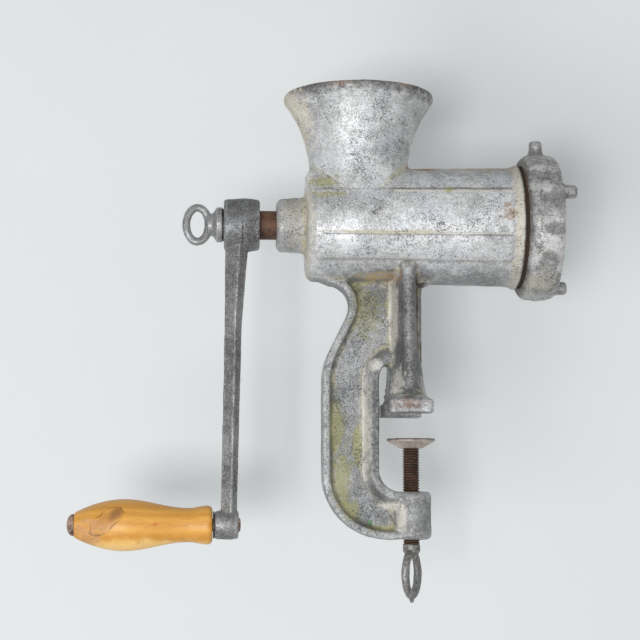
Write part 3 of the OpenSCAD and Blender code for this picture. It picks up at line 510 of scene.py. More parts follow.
def make_panel_lines():
    """Edges of the two raised panels along the barrel's sides, by the angle up from the side about the worm's
    axis: a painted shade line above each edge, a painted highlight line on it, and the height of the panels.
    Reach is the barrel's radius at the start, which grows with X; nothing is drawn on what stands further
    out. Foot is where the hopper's foot covers the upper edge."""
    inputs = {"Place": None, "Axis": 0.0, "Start": 0.0, "End": 0.0, "Reach": 0.0, "Foot": 0.0}
    tree, given, out = new_group("Panel lines", inputs, ["Dark", "Light", "Height"])
    x, y, z = node_in(tree, "ShaderNodeSeparateXYZ", {0: given["Place"]}).outputs
    up = less(tree, z, given["Axis"])
    side = calc(tree, "ABSOLUTE", y)
    turn = times(tree, calc(tree, "ARCTAN2", up, side), 180 / math.pi)
    far = calc(tree, "SQRT", calc(tree, "ADD", times(tree, up, up), times(tree, side, side)))
    run = less(tree, x, given["Start"])
    left = less(tree, given["End"], x)
    past = total(tree, (far, 1.0), (given["Reach"], -1.0), (run, -BARREL_TAPER))
    inside = times(tree, ramp(tree, past, 1.0 * MM, 0.4 * MM), ramp(tree, run, 0.0, PANEL_FADE))
    inside = times(tree, inside, ramp(tree, left, 0.0, PANEL_FADE))

    def band(middle, half):
        """A line along the barrel, by the angle of its middle and half its width."""
        return ramp(tree, apart(tree, turn, middle), half, 0.35 * half)

    top, split, low = PANEL_ANGLES
    bare = ramp(tree, apart(tree, x, given["Foot"]), 15 * MM, 19 * MM)
    # Painted shade and painted highlight lines; the top ones stop where the hopper's foot covers them
    top_shade_line = times(tree, band(top + 2.0, 1.8), bare)
    top_highlight_line = times(tree, band(top - 1.6, 2.6), bare)
    dark = total(tree, (top_shade_line, 1.0), (band(split - 2.4, 1.6), 0.55), (band(low - 2.2, 2.4), 0.35))
    light = total(tree, (top_highlight_line, 1.0), (band(split, 1.2), 0.8), (band(low + 1.4, 1.4), 0.3))
    rise = times(tree, ramp(tree, turn, top + 0.8, top - 0.8), ramp(tree, turn, low - 0.8, low + 0.8))
    rise = less(tree, rise, band(split - 1.2, 1.6))
    for label, value in (("Dark", dark), ("Light", light), ("Height", rise)):
        send(tree, out, {label: times(tree, value, inside)})


def make_rust():
    """Crusted rust: a light and dark mask in flakes, and the height of the crust."""
    tree, given, out = new_group("Rust", {"Place": None}, ["Mask", "Height"])
    flakes = speckle(tree, given["Place"], 420.0, 6.0, 0.7)
    patches = speckle(tree, given["Place"], 120.0, 4.0, 0.6)
    mask = total(tree, (flakes, 0.6), (patches, 0.5))
    send(tree, out, {"Mask": ramp(tree, mask, 0.38, 0.72), "Height": flakes})


def make_wood_grain():
    """Wood cut along its grain: rings about an axis beside the piece, stretched along it, and short pores."""
    tree, given, out = new_group("Wood grain", {"Place": None}, ["Rings", "Pores"])
    long = vector_calc(tree, "MULTIPLY", given["Place"], (0.10, 1.0, 1.0))
    streak = vector_calc(tree, "MULTIPLY", given["Place"], (0.05, 1.0, 1.0))
    _, across, up = node_in(tree, "ShaderNodeSeparateXYZ", {0: long}).outputs
    depth = total(tree, (across, 0.45), (up, 1.0))
    rings = total(tree, (depth, 420.0), (speckle(tree, long, 60.0), 5.0))
    wave = calc(tree, "SINE", times(tree, rings, 2.2))
    wave = calc(tree, "ADD", times(tree, wave, 0.5), 0.5)
    fibre = speckle(tree, long, 900.0, 4.0, 0.6)
    tone = total(tree, (wave, 0.35), (fibre, 0.9))
    pores = ramp(tree, speckle(tree, streak, 2200.0, 2.0), 0.60, 0.72)
    send(tree, out, {"Rings": ramp(tree, tone, 0.20, 1.05), "Pores": pores})


# Finishes

def new_finish(name):
    """A material's tree with its shader and the place on the piece."""
    material = bpy.data.materials.new(name)
    material.use_nodes = True
    tree = material.node_tree
    tree.nodes.clear()
    shader = tree.nodes.new("ShaderNodeBsdfPrincipled")
    output = tree.nodes.new("ShaderNodeOutputMaterial")
    tree.links.new(shader.outputs[0], output.inputs["Surface"])
    place = tree.nodes.new("ShaderNodeTexCoord").outputs["Object"]
    return material, tree, shader, place


def emboss(tree, shader, height, depth):
    """Lets a height that changes over the surface move the shader's normal."""
    bump = node_in(tree, "ShaderNodeBump", {"Height": height, "Distance": depth, "Strength": 1.0})
    tree.links.new(bump.outputs[0], shader.inputs["Normal"])


def lay_marks(tree, place, base, stains_and_painted_light, mode="MIX", limit=None):
    """Lays a list of marks over a base colour, or multiplies it by them: stain marks, painted highlights and
    painted shade. Each is a name, a colour, a centre and a size in millimetres, how ragged its edge is and
    how strong it is. A limit is a mask that all of them share. Gives the colour and the covered share."""
    breakup = speckle(tree, place, 260.0, 5.0, 0.62)
    cover = 0.0
    for label, tint, centre, size, ragged, strength in stains_and_painted_light:
        made = group(tree, "Stain", place=place, breakup=breakup, ragged=ragged,
                     centre=[v * MM for v in centre], size=[v * MM for v in size])
        made.label = label
        mask = times(tree, made.outputs["Mask"], strength)
        if limit:
            mask = times(tree, mask, limit)
        base = blend(tree, mask, base, tint, mode)
        cover = calc(tree, "MAXIMUM", cover, mask)
    return base, cover


def cast_metal(name, light, dark, finish, pitting=0.5, grime=1.0, wear=1.0, bloom=0.5, shades=(), stains_and_painted_light=(),
               slope_highlights=(), gloss=0.52, glint=0.0, depth=0.30 * MM, panels=None):
    """Cast metal with a mottled skin: bloom, darker regions (painted shade on some), deposits in its hollows,
    its own stain marks, painted highlights and shade, rubbed edges and pits. Gloss is the roughness of its
    brightest skin."""
    material, tree, shader, place = new_finish(name)
    tone, pits, height = group(tree, "Cast skin", place=place, pitting=pitting).outputs
    touch = group(tree, "Handling", place=place, grime=grime, wear=wear).outputs
    base = blend(tree, tone, dark, light)
    cloud = ramp(tree, speckle(tree, place, 58.0, 4.0, 0.55), 0.50, 0.68)
    base = lay(tree, base, cloud, bloom, finish.tin_bloom)
    # Darker regions: painted shade on some, the rest just darker
    base, _ = lay_marks(tree, place, base, shades, "MULTIPLY")
    if panels:
        lines = group(tree, "Panel lines", place=place, **panels).outputs
        # Painted shade above the panels' edges, then painted highlight on them
        base = lay(tree, base, lines["Dark"], 0.75, grey(0.30), "MULTIPLY")
        base = lay(tree, base, lines["Light"], 0.9, WHITE_TIN_HIGHLIGHT)
        height = calc(tree, "ADD", height, lines["Height"])
    deposit = blend(tree, touch["Green"], finish.cream, finish.olive)
    base = lay(tree, base, touch["Grime"], 0.7, deposit)
    base = lay(tree, base, touch["Crease"], 0.6, finish.pit)
    base, cover = lay_marks(tree, place, base, stains_and_painted_light)
    # Painted highlights, only where the skin faces -X, toward the lamps at the left
    if slope_highlights:
        facing = ramp(tree, mark_on(tree, "lean"), 0.20, 0.50)
        base, _ = lay_marks(tree, place, base, slope_highlights, limit=facing)
    # Painted glints: bright specks
    if glint:
        sparks = ramp(tree, speckle(tree, place, 1400.0, 2.0, 0.6), 0.56, 0.68)
        base = lay(tree, base, sparks, glint, finish.tin_worn_and_glint)
    base = lay(tree, base, touch["Wear"], 0.3, finish.tin_worn_and_glint)
    base = lay(tree, base, pits, 0.75, finish.pit)
    cover = calc(tree, "MAXIMUM", calc(tree, "MAXIMUM", cover, touch["Grime"]), pits)
    dull = total(tree, (tone, -SKIN_SHEEN), (cover, 0.30))
    send(tree, shader, {
        "Base Color": base,
        "Metallic": ramp(tree, cover, 0.0, 1.0, BARE_METAL, COVERED_METAL),
        "Roughness": calc(tree, "ADD", dull, gloss + SKIN_SHEEN, True)})
    emboss(tree, shader, height, depth)
    return material


def rusted_steel(name, finish, light=None):
    """Bare steel under a crust of brown rust, dark in the thread's roots. Light is the dry rust's colour."""
    material, tree, shader, place = new_finish(name)
    crust = group(tree, "Rust", place=place).outputs
    base = blend(tree, crust["Mask"], finish.rust_dark, light or finish.rust_light)
    glint = ramp(tree, speckle(tree, place, 300.0, 4.0, 0.6), 0.58, 0.74)
    base = lay(tree, base, glint, 0.4, finish.steel_dark)
    base = lay(tree, base, mark_on(tree, "crevice"), 0.92, NEAR_BLACK)
    send(tree, shader, {
        "Base Color": base,
        "Metallic": times(tree, glint, 0.5),
        "Roughness": ramp(tree, crust["Height"], 0.3, 0.7, 0.5, 0.9)})
    emboss(tree, shader, crust["Height"], 0.22 * MM)
    return material


def ground_steel(name, light, dark, gloss):
    """Ground steel, stained in patches, with fine scratches across it. Gloss is its least roughness."""
    material, tree, shader, place = new_finish(name)
    drawn_out = vector_calc(tree, "MULTIPLY", place, (1.0, 0.06, 1.0))
    scratch = speckle(tree, drawn_out, 1600.0, 3.0, 0.6)
    patch = speckle(tree, place, 130.0, 5.0, 0.65)
    tone = ramp(tree, total(tree, (scratch, 0.5), (patch, 1.0)), 0.55, 0.95)
    send(tree, shader, {
        "Base Color": blend(tree, tone, dark, light),
        "Metallic": 1.0,
        "Roughness": ramp(tree, patch, 0.35, 0.65, gloss + 0.2, gloss)})
    emboss(tree, shader, scratch, 0.03 * MM)
    return material


def varnished_wood(name, finish, grip_lo, grip_hi):
    """Turned wood under amber varnish, worn pale at its outer end, with one leaf-shaped stain that slants,
    and painted light along its underside.
    """
    material, tree, shader, place = new_finish(name)
    grain = group(tree, "Wood grain", place=place).outputs
    base = blend(tree, grain["Rings"], finish.wood_dark, finish.wood_light)
    breakup = speckle(tree, place, 150.0, 4.0, 0.55)
    middle = (grip_lo + grip_hi) / 2
    near_end = Vector((grip_lo.x, grip_lo.y + 2.5 * MM, middle.z))

    def spot(start, offset, size, ragged, where=place):
        """Mask and rim of a mark, by its offset from a start and its size, both in millimetres."""
        return group(tree, "Stain", place=where, breakup=breakup, ragged=ragged,
                     centre=start + Vector(offset) * MM, size=[v * MM for v in size]).outputs

    leaf_at = near_end + Vector((18.6, 0, 1.9)) * MM
    slant = node_in(tree, "ShaderNodeVectorRotate", {
        "Vector": place, "Center": leaf_at, "Axis": (0, 1, 0), "Angle": LEAF_SLANT}).outputs[0]
    leaf = spot(leaf_at, (0, 0, 0), (13.0, 9.0, 5.6), 0.25, slant)
    tip = spot(leaf_at, (7, 0, 0), (6.5, 9.0, 3.6), 0.3, slant)
    # Painted light: the grip's underside is lighter, where the lamps from below fall on it
    pale = spot(middle, (-4, 0, -16), (70, 70, 10), 0.2)
    worn = spot(near_end, (7, 0, -6), (13, 16, 10), 0.6)
    mark = spot(near_end, (46.5, 0, 0.7), (2.0, 4.0, 1.2), 0.4)
    line = times(tree, leaf["Rim"], ramp(tree, breakup, 0.40, 0.58, 0.15, 0.75))
    grit = times(tree, worn["Mask"], ramp(tree, speckle(tree, place, 900.0), 0.54, 0.66))
    dirt = ramp(tree, speckle(tree, place, 70.0, 5.0, 0.65), 0.58, 0.80)
    for mask, share, tint in (
            (pale["Mask"], 0.9, PAINTED_LIGHT_WOOD), (leaf["Mask"], 0.60, LEAF_BROWN), (tip["Mask"], 0.65, LEAF_DARK),
            (line, 1.0, finish.wood_stain), (worn["Mask"], 0.55, finish.wood_bare),
            (grit, 0.4, finish.wood_stain), (mark["Mask"], 0.7, RED_MARK),
            (dirt, 0.25, finish.wood_stain), (grain["Pores"], 0.30, finish.wood_stain)):
        base = lay(tree, base, mask, share, tint)
    bare = calc(tree, "MAXIMUM", worn["Mask"], times(tree, dirt, 0.5))
    send(tree, shader, {
        "Base Color": base,
        "Roughness": ramp(tree, bare, 0.0, 1.0, 0.48, 0.70),
        "Coat Weight": ramp(tree, bare, 0.0, 1.0, 0.14, 0.0),
        "Coat Roughness": 0.28})
    emboss(tree, shader, less(tree, grain["Rings"], grain["Pores"]), 0.04 * MM)
    return material


def grey(level):
    """A neutral grey: a factor that a region's colour is multiplied by, or the colour of painted highlights
    and shade.
    """
    return (level, level, level)


# Values of the finishes

# Angles in degrees of the panels' top edge, middle line and low edge, and how they fade at their ends
PANEL_ANGLES = (29.0, -14.0, -42.0)
PANEL_FADE = 2 * MM
# Growth of the barrel's radius along X
BARREL_TAPER = 0.016

# Share of metal in the castings' shading where the skin is clean and where it is covered
BARE_METAL = 0.42
COVERED_METAL = 0.1
# How much rougher the dullest clean skin is than the brightest
SKIN_SHEEN = 0.14
LEAF_SLANT = math.radians(39)

CREAM = (0.64, 0.59, 0.45)
# Colour of painted highlights, and of bright tin
WHITE_TIN_HIGHLIGHT = (0.78, 0.76, 0.70)
OLIVE = (0.40, 0.39, 0.15)
OCHRE = (0.52, 0.38, 0.15)
ORANGE = (0.40, 0.21, 0.09)
RED_RUST = (0.30, 0.16, 0.10)
BROWN = (0.05, 0.03, 0.018)
# Near black: painted shade in the leg's groove and on the pad's edge, and dark thread roots, holes and marks
NEAR_BLACK = (0.012, 0.009, 0.007)
VERDIGRIS = (0.10, 0.34, 0.10)
# Colour of the painted light on the grip's underside
PAINTED_LIGHT_WOOD = (1.0, 0.66, 0.24)
LEAF_BROWN = (0.46, 0.21, 0.065)
LEAF_DARK = (0.25, 0.10, 0.035)
RED_MARK = (0.62, 0.16, 0.05)

# Each shade, stain and painted highlight: a name, a colour, a centre and a size in millimetres, raggedness
# and strength.
# A size of OPEN leaves that direction open.
OPEN = 400

# Painted shade on the hopper's right side and the barrel's top and underside, where less light falls; the
# hopper's rim is darker metal with painted shade on its lip. The other regions here are just darker.
CASTING_SHADES = (
    ("painted shade, hopper's right side", grey(0.80), (14, -6, 172), (30, 80, 44), 0.35, 1.0),
    ("hopper rim, darker metal and painted shade", (0.21, 0.20, 0.19), (-30.4, 0, 192), (OPEN, OPEN, 9.8), 0.30, 1.0),
    ("hopper, waist", grey(0.86), (-38, -30, 148), (18, 30, 15), 0.2, 1.0),
    ("painted shade, barrel underside", grey(0.54), (6, 0, 70), (160, OPEN, 18), 0.25, 1.0),
    ("painted shade, barrel top", grey(0.72), (34, 0, 150), (70, OPEN, 16), 0.25, 1.0),
    ("bearing boss", grey(0.66), (-74, 0, 112), (15, 40, 40), 0.2, 1.0),
    ("frame", grey(0.50), (-22, 0, -8), (62, 60, 120), 0.10, 1.0),
    ("legs", grey(0.36), (-2, 0, 38), (11, 90, 62), 0.15, 1.0),
    ("jaw", grey(0.78), (1, 0, -60), (22, 60, 18), 0.15, 1.0),
    ("inner flange", grey(0.46), (-19.5, -2, -10), (8.0, 60, 66), 0.10, 1.0),
)

CASTING_STAINS_AND_LIGHT = (
    # Cream deposit, painted brighter where light falls from the left
    ("cream and painted light, hopper left", (0.80, 0.745, 0.58), (-72, -8, 168), (16, 40, 34), 0.45, 0.7),
    ("green, hopper foot", OLIVE, (-53, -28, 134), (11, 14, 6), 0.6, 0.7),
    ("green line, hopper foot", OLIVE, (-50, -33, 125.3), (14, 10, 2.6), 0.6, 0.6),
    ("cream, bearing boss", CREAM, (-70, -14, 114), (12, 22, 18), 0.7, 0.35),
    ("green, boss root", OLIVE, (-63.6, 0, 112), (3.0, 24, 24), 0.5, 0.55),
    ("cream, rear wall", CREAM, (-61, -14, 108), (4, 34, 40), 0.6, 0.5),
    ("cream, outlet end", CREAM, (60.5, 0, 112), (4.5, OPEN, OPEN), 0.6, 0.5),
    ("rust spot, outlet end", ORANGE, (54, -34, 116), (4.6, 8, 6.5), 0.8, 0.45),
    ("orange line, barrel top", ORANGE, (9, -8, 146), (13, 18, 4.6), 0.5, 0.85),
    ("ochre line, barrel top", OCHRE, (36, -8, 146.5), (32, 18, 4.2), 0.7, 0.7),
    ("blow hole", NEAR_BLACK, (52, -17, 136.7), (0.9, 5, 0.9), 0.1, 0.95),
    ("green spot, barrel", OLIVE, (19.3, -28, 128.5), (3.4, 8, 2.6), 0.5, 0.85),
    # Cream deposit with painted highlight along the ledge at the panels' middle line
    ("cream line and painted highlight, barrel's middle line", CREAM, (-14, -34, 103.2), (40, 8, 1.6), 0.6, 0.7),
    ("orange spot, barrel low", ORANGE, (-6, -30, 86.4), (3.6, 8, 3.0), 0.6, 0.6),
    # Rust on the neck, with painted shade in the gap between the barrel's end and the ring
    ("rust and painted shade beside the ring", BROWN, (64.8, 0, 112), (2.8, OPEN, OPEN), 0.15, 1.0),
    ("soot, barrel low", NEAR_BLACK, (4.5, -10, 76), (4.0, 12, 2.6), 0.6, 0.8),
    ("green, web", OLIVE, (-44, -5, -6), (6.5, 9, 24), 0.4, 0.55),
    ("green, web inside", OLIVE, (-31.5, -5, -18), (4.0, 9, 17), 0.4, 0.6),
    ("green, web low", OLIVE, (-41, -5, -38), (7.5, 9, 24), 0.5, 0.55),
    ("green, web corner", OLIVE, (-35, -5, -56), (7, 9, 9), 0.4, 0.5),
    ("green, jaw", OLIVE, (-20, -5, -66), (13, 9, 3.2), 0.5, 0.5),
    ("green spot, jaw", VERDIGRIS, (-24.6, -5, -62.7), (2.0, 7, 1.6), 0.4, 0.85),
    # Painted highlights where the inner slope bends at the top and runs along the jaw
    ("painted highlight, slope's upper bend", WHITE_TIN_HIGHLIGHT, (-21.7, -8, 28.8), (5.5, 7, 5.0), 0.30, 0.75),
    ("painted highlight, slope along the jaw", WHITE_TIN_HIGHLIGHT, (-14, -8, -53.5), (12, 7, 4.0), 0.30, 0.75),
    ("green, web top", OLIVE, (-26, -5, 60), (12, 9, 22), 0.7, 0.35),
    ("ochre, web top", OCHRE, (-20, -6, 80.5), (16, 16, 2.6), 0.8, 0.7),
    ("orange, web top", ORANGE, (-9, -6, 79.5), (6, 20, 5), 0.8, 0.55),
    # Bright tin with painted highlight on the near leg's flanks
    ("bright tin and painted highlight, near leg's left", WHITE_TIN_HIGHLIGHT, (-9.5, -22, 18), (4.0, 14, 14), 0.7, 0.6),
    ("bright tin and painted highlight, near leg's right", WHITE_TIN_HIGHLIGHT, (6.5, -24, 17), (3.4, 14, 12), 0.7, 0.6),
    # Painted shade in the groove at the leg's right
    ("painted shade, groove at the leg's right", NEAR_BLACK, (2.6, -12, 62), (1.2, 14, 20), 0.6, 0.5),
    ("orange, leg", ORANGE, (-8.7, -8, 42.3), (2.4, 9, 3.2), 0.5, 0.8),
    ("soot, leg", NEAR_BLACK, (-9.3, -8, 38.0), (2.8, 9, 2.6), 0.5, 0.85),
    ("rust, near foot", RED_RUST, (-5, -40, 5.2), (12, 4, 4.2), 1.0, 0.55),
    ("red, rim left", RED_RUST, (-43.4, -43, 189.4), (8, 12, 3.0), 0.6, 0.6),
    ("red, rim right", RED_RUST, (-7, -38, 189.4), (9, 12, 3.0), 0.6, 0.55),
)

# Painted highlights on slopes that face -X, toward the lamps at the left
CASTING_SLOPE_HIGHLIGHTS = (
    ("painted highlight, inner slope", WHITE_TIN_HIGHLIGHT, (-30.4, -8, -8), (8.0, 9, 80), 0.25, 0.95),
    ("painted highlight, leg flank", WHITE_TIN_HIGHLIGHT, (-10.8, -7, 58), (6, 14, 30), 0.35, 0.85),
    ("painted highlight, jaw side", WHITE_TIN_HIGHLIGHT, (-8.5, -14, -60), (8, 12, 14), 0.3, 0.8),
)

CRANK_SHADES = (
    ("hub", (0.74, 0.75, 0.78), (-100.5, 0, 113), (28, 60, 24), 0.2, 1.0),
)

CRANK_STAINS = (
    ("parting line, hub", NEAR_BLACK, (-99.2, -14, 104), (0.7, 14, 12), 0.25, 0.6),
)

PAD_SHADE = (
    # Painted shade on the pad's upper edge, which faces away from the light
    ("painted shade, upper edge", NEAR_BLACK, (0, 0, -13.2), (OPEN, OPEN, 2.3), 0.15, 0.75),
)

WING_STAINS = (
    ("ochre, inner right limb", OCHRE, (4.0, -2, -93), (2.2, 5, 8), 0.5, 0.7),
)

RING_SHADES = (
    ("front lugs", grey(0.60), (95, 0, 112), (10, OPEN, OPEN), 0.3, 1.0),
    ("top lug", grey(0.62), (72, 0, 161), (60, 80, 10), 0.3, 1.0),
)

RING_STAINS_AND_LIGHT = (
    # Rust with painted shade on the ring's rear edge, beside the gap at the barrel's end
    ("rust and painted shade, ring's rear edge", BROWN, (65.0, 0, 112), (2.0, OPEN, OPEN), 0.3, 0.7),
    # Painted highlights and painted shade on the flutes, and painted highlights beside the near lug
    ("bright streak, upper flute", grey(0.72), (75.5, -31, 142), (10, 30, 3.4), 0.5, 0.65),
    ("bright flute, upper", grey(0.60), (72.5, -36, 129.5), (10, 30, 5), 0.6, 0.6),
    ("dark flute, upper", grey(0.11), (81, -40, 122.5), (6.5, 30, 8), 0.45, 0.65),
    ("bright edge, middle", grey(0.62), (77, -42, 110), (12, 30, 2.8), 0.6, 0.55),
    ("dark flute, middle", grey(0.10), (80, -42, 104.5), (9, 30, 5), 0.5, 0.6),
    ("bright flute, lower", grey(0.70), (75.5, -40, 97), (12, 30, 4.8), 0.6, 0.65),
    ("bright, left of the near lug", grey(0.70), (67.5, -36, 88), (4.5, 30, 8), 0.6, 0.55),
    ("bright, right of the near lug", grey(0.66), (83, -34, 87), (3.5, 30, 9), 0.6, 0.55),
    # Darker near lug with painted shade
    ("near lug", grey(0.15), (74.3, -48, 85.4), (6, 9, 6), 0.15, 0.7),
    ("cream, ring low", CREAM, (73, -28, 75), (13, 30, 8), 0.8, 0.4),
)


# Operators

# Each lamp: its name, its direction from the target, its power's setting, its size and its distance in metres
LAMPS = (
    ("key_lamp", (-0.19, -0.965, -0.175), "key_power", 0.34, 2.0),
    ("side_lamp", (-0.42, -0.85, -0.32), "side_power", 0.9, 2.0),
    ("fill_lamp", (0.55, -0.75, 0.35), "fill_power", 3.0, 2.0),
    ("rear_left_lamp", (-0.60, 0.75, 0.35), "rear_power", 0.80, 1.25),
    ("rear_right_lamp", (0.65, 0.70, 0.25), "rear_power", 0.80, 1.25),
)
SENSOR_WIDTH = 36.0

# Holes whose walls stay free of lumps
WORM_HOLE_R = 8.6 * MM
SCREW_HOLE_R = 5.1 * MM
RING_HOLE_R = 36.0 * MM
RIVET_HOLE_R = 3.8 * MM
SOCKET_R = 7.5 * MM

# Barrel's radius where its panels start, the hopper's middle along X, and the neck under the ring nut
PANEL_R = 34.2 * MM
HOPPER_X = -30.4 * MM
NECK_R = 35.5 * MM
NECK_LEN = 12.2 * MM

# Radii beyond the clamp screw's thread, below it and above it
SCREW_TAIL_R = 3.0 * MM
SCREW_PIVOT_R = 3.2 * MM


def settings_of(context):
    """The finishes and the sizes that the user has set."""
    return context.scene.grinder_finish, context.scene.grinder_sizes


class GRINDER_OT_stage(bpy.types.Operator):
    """Set up the camera, the lamps, the surroundings and the pale backdrop"""
    bl_idname = "grinder.stage"
    bl_label = "Stage"

    def execute(self, context):
        scene = context.scene
        stage = scene.grinder_stage
        scene.view_settings.view_transform = "Standard"
        self.aim_camera(scene, stage)
        self.light_surroundings(scene, stage)
        target = Vector(stage.target)
        for name, direction, power, size, reach in LAMPS:
            offset = Vector(direction).normalized() * reach
            self.hang_lamp(scene, name, target, offset, getattr(stage, power), size)
        self.raise_backdrop(stage)
        return {"FINISHED"}

    def aim_camera(self, scene, stage):
        """Puts the camera at its distance behind the target, along its azimuth and elevation."""
        level = math.cos(stage.elevation)
        back = Vector((math.sin(stage.azimuth) * level, -math.cos(stage.azimuth) * level,
                       math.sin(stage.elevation)))
        camera = bpy.data.objects.new("camera", bpy.data.cameras.new("camera"))
        camera.data.sensor_width = SENSOR_WIDTH
        camera.data.lens = stage.lens
        camera.location = Vector(stage.target) + back * stage.distance
        camera.rotation_euler = (-back).to_track_quat("-Z", "Y").to_euler()
        scene.collection.objects.link(camera)
        scene.camera = camera

    def light_surroundings(self, scene, stage):
        """Pale surroundings to the lens and to gloss, with a plain level of light for everything else."""
        world = bpy.data.worlds.new("surroundings")
        world.use_nodes = True
        scene.world = world
        tree = world.node_tree
        tree.nodes.clear()
        ray = tree.nodes.new("ShaderNodeLightPath")
        light = node_in(tree, "ShaderNodeBackground", {"Color": (1, 1, 1, 1), "Strength": stage.sky_level})
        seen = node_in(tree, "ShaderNodeBackground", {"Color": (*stage.sky_colour, 1), "Strength": 1.0})
        mix = node_in(tree, "ShaderNodeMixShader", {
            0: ray.outputs["Is Camera Ray"], 1: light.outputs[0], 2: seen.outputs[0]})
        output = tree.nodes.new("ShaderNodeOutputWorld")
        tree.links.new(mix.outputs[0], output.inputs["Surface"])

    def hang_lamp(self, scene, name, target, offset, power, size):
        """A square soft lamp that faces the target."""
        lamp = bpy.data.objects.new(name, bpy.data.lights.new(name, "AREA"))
        lamp.data.energy = power
        lamp.data.size = size
        lamp.location = target + offset
        lamp.rotation_euler = (-offset).to_track_quat("-Z", "Y").to_euler()
        scene.collection.objects.link(lamp)

    def raise_backdrop(self, stage):
        """A pale disc behind the object: point (i, j) lies at reach * i / n and angle 2 pi j / m. Only its
        front shows, it lets lamp light through, and it fades out towards its edge."""
        rings, spokes = 6, 48
        out = np.linspace(0.02, 1.0, rings)[:, None] * stage.backdrop_reach
        turn = 2 * np.pi * np.arange(spokes)[None, :] / spokes
        across = out * np.cos(turn) + stage.target[0]
        up = out * np.sin(turn) + stage.target[2]
        depth = np.full(across.shape, self.behind(stage))
        points = np.stack([across, depth, up], -1).reshape(-1, 3)
        i, j = np.meshgrid(np.arange(rings - 1), np.arange(spokes), indexing="ij")
        here = i * spokes
        there = here + spokes
        beside = (j + 1) % spokes
        quads = np.stack([here + j, there + j, there + beside, here + beside], -1)
        backdrop = new_piece("backdrop", points, [list(range(spokes))] + quads.reshape(-1, 4).tolist())
        paint(backdrop, self.backdrop_finish(stage))

    def behind(self, stage):
        """Depth of the backdrop, behind the circle that the crank and its grip sweep about the worm axis."""
        axis_z = worm_axis().z
        sweep = 0.0
        for node in ("crank_arm", "grip", "grip_spindle"):
            _, y, z = numbers(frame["nodes"][node].data.vertices, "co", 3).T
            sweep = max(sweep, float(np.hypot(y, z - axis_z).max()))
        return sweep + stage.backdrop_gap

    def backdrop_finish(self, stage):
        """Matt pale paper, mottled a little, seen from its front only."""
        material, tree, shader, place = new_finish("pale_paper")
        tree.nodes.remove(shader)
        pale = tuple(stage.backdrop_colour)
        soft = tuple(0.97 * v for v in pale)
        mottle = speckle(tree, place, 14.0, 2.0)
        paper = node_in(tree, "ShaderNodeBsdfDiffuse", {"Color": blend(tree, mottle, soft, pale)})
        clear = tree.nodes.new("ShaderNodeBsdfTransparent")
        ray = tree.nodes.new("ShaderNodeLightPath")
        back = tree.nodes.new("ShaderNodeNewGeometry").outputs["Backfacing"]
        seen = calc(tree, "ADD", ray.outputs["Is Camera Ray"], ray.outputs["Is Glossy Ray"], True)
        seen = calc(tree, "ADD", seen, ray.outputs["Is Transmission Ray"], True)
        front = times(tree, seen, less(tree, 1.0, back))
        middle = (stage.target[0], self.behind(stage), stage.target[2])
        away = vector_calc(tree, "DISTANCE", place, middle, "Value")
        fade = ramp(tree, away, 0.96 * stage.backdrop_reach, 0.55 * stage.backdrop_reach)
        mix = node_in(tree, "ShaderNodeMixShader", {
            0: times(tree, front, fade), 1: clear.outputs[0], 2: paper.outputs[0]})
        output = next(n for n in tree.nodes if n.type == "OUTPUT_MATERIAL")
        tree.links.new(mix.outputs[0], output.inputs["Surface"])
        return material


class GRINDER_OT_shared_effects(bpy.types.Operator):
    """Build the node groups that the finishes share"""
    bl_idname = "grinder.shared_effects"
    bl_label = "Shared effects"

    def execute(self, context):
        for make in (make_cast_skin, make_ellipsoid_mark, make_handling, make_panel_lines, make_rust, make_wood_grain):
            make()
        return {"FINISHED"}


class GRINDER_OT_casting(bpy.types.Operator):
    """Dress the body casting and the thread under its ring nut"""
    bl_idname = "grinder.casting"
    bl_label = "Body casting"

    def execute(self, context):
        finish, sizes = settings_of(context)
        axis_z = worm_axis().z
        bores = (((0, 0, axis_z), "X", WORM_HOLE_R), ((0, 0, 0), "Z", SCREW_HOLE_R))
        casting = cast_piece(
            "body_casting", "casting", "tinned_iron", sizes.casting_grid, hollow_r=sizes.casting_hollow,
            edge_r=sizes.casting_edge, rough=0.06 * MM, bores=bores, seed=11)
        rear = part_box("thrust_washer")[0].x
        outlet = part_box("ring_nut")[0].x
        panels = {"axis": axis_z, "start": rear + 2 * MM, "end": outlet - 8 * MM, "reach": PANEL_R,
                  "foot": HOPPER_X}
        paint(casting, cast_metal(
            "tinned_casting", finish.tin_light, finish.tin_dark, finish, pitting=0.55, wear=0.8,
            shades=CASTING_SHADES, stains_and_painted_light=CASTING_STAINS_AND_LIGHT, slope_highlights=CASTING_SLOPE_HIGHLIGHTS, panels=panels))
        self.cut_neck_thread(sizes, axis_z)
        paint(bpy.data.objects["neck_thread"], rusted_steel("neck_rust", finish))
        return {"FINISHED"}

    def cut_neck_thread(self, sizes, axis_z):
        """A low sleeve round the neck. Its outer radius is the crest less the thread's depth at that place
        and angle, and its inner side is hidden in the neck."""
        casting_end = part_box("body_casting")[1].x
        crest = NECK_R + 0.15 * MM
        root = NECK_R - 0.5 * MM
        inner = NECK_R - 1.2 * MM
        start = casting_end - NECK_LEN
        end = casting_end - 0.4 * MM
        steps, sides = 90, 120
        along = np.linspace(start, end, steps)
        depth = thread_depth(along, np.arange(sides) / sides, sizes.neck_pitch)
        outer = crest - (crest - root) * depth
        along = np.concatenate([along, along[::-1]])
        radius = np.concatenate([outer, np.full((steps, sides), inner)])
        piece = turned("neck_thread", along, radius, (0, 0, axis_z), "X", closed=True)
        note(piece.data, "crevice", np.concatenate([depth, np.ones((steps, sides))]))
        face_outwards(piece)
        settle(piece, "casting", "tinned_iron")


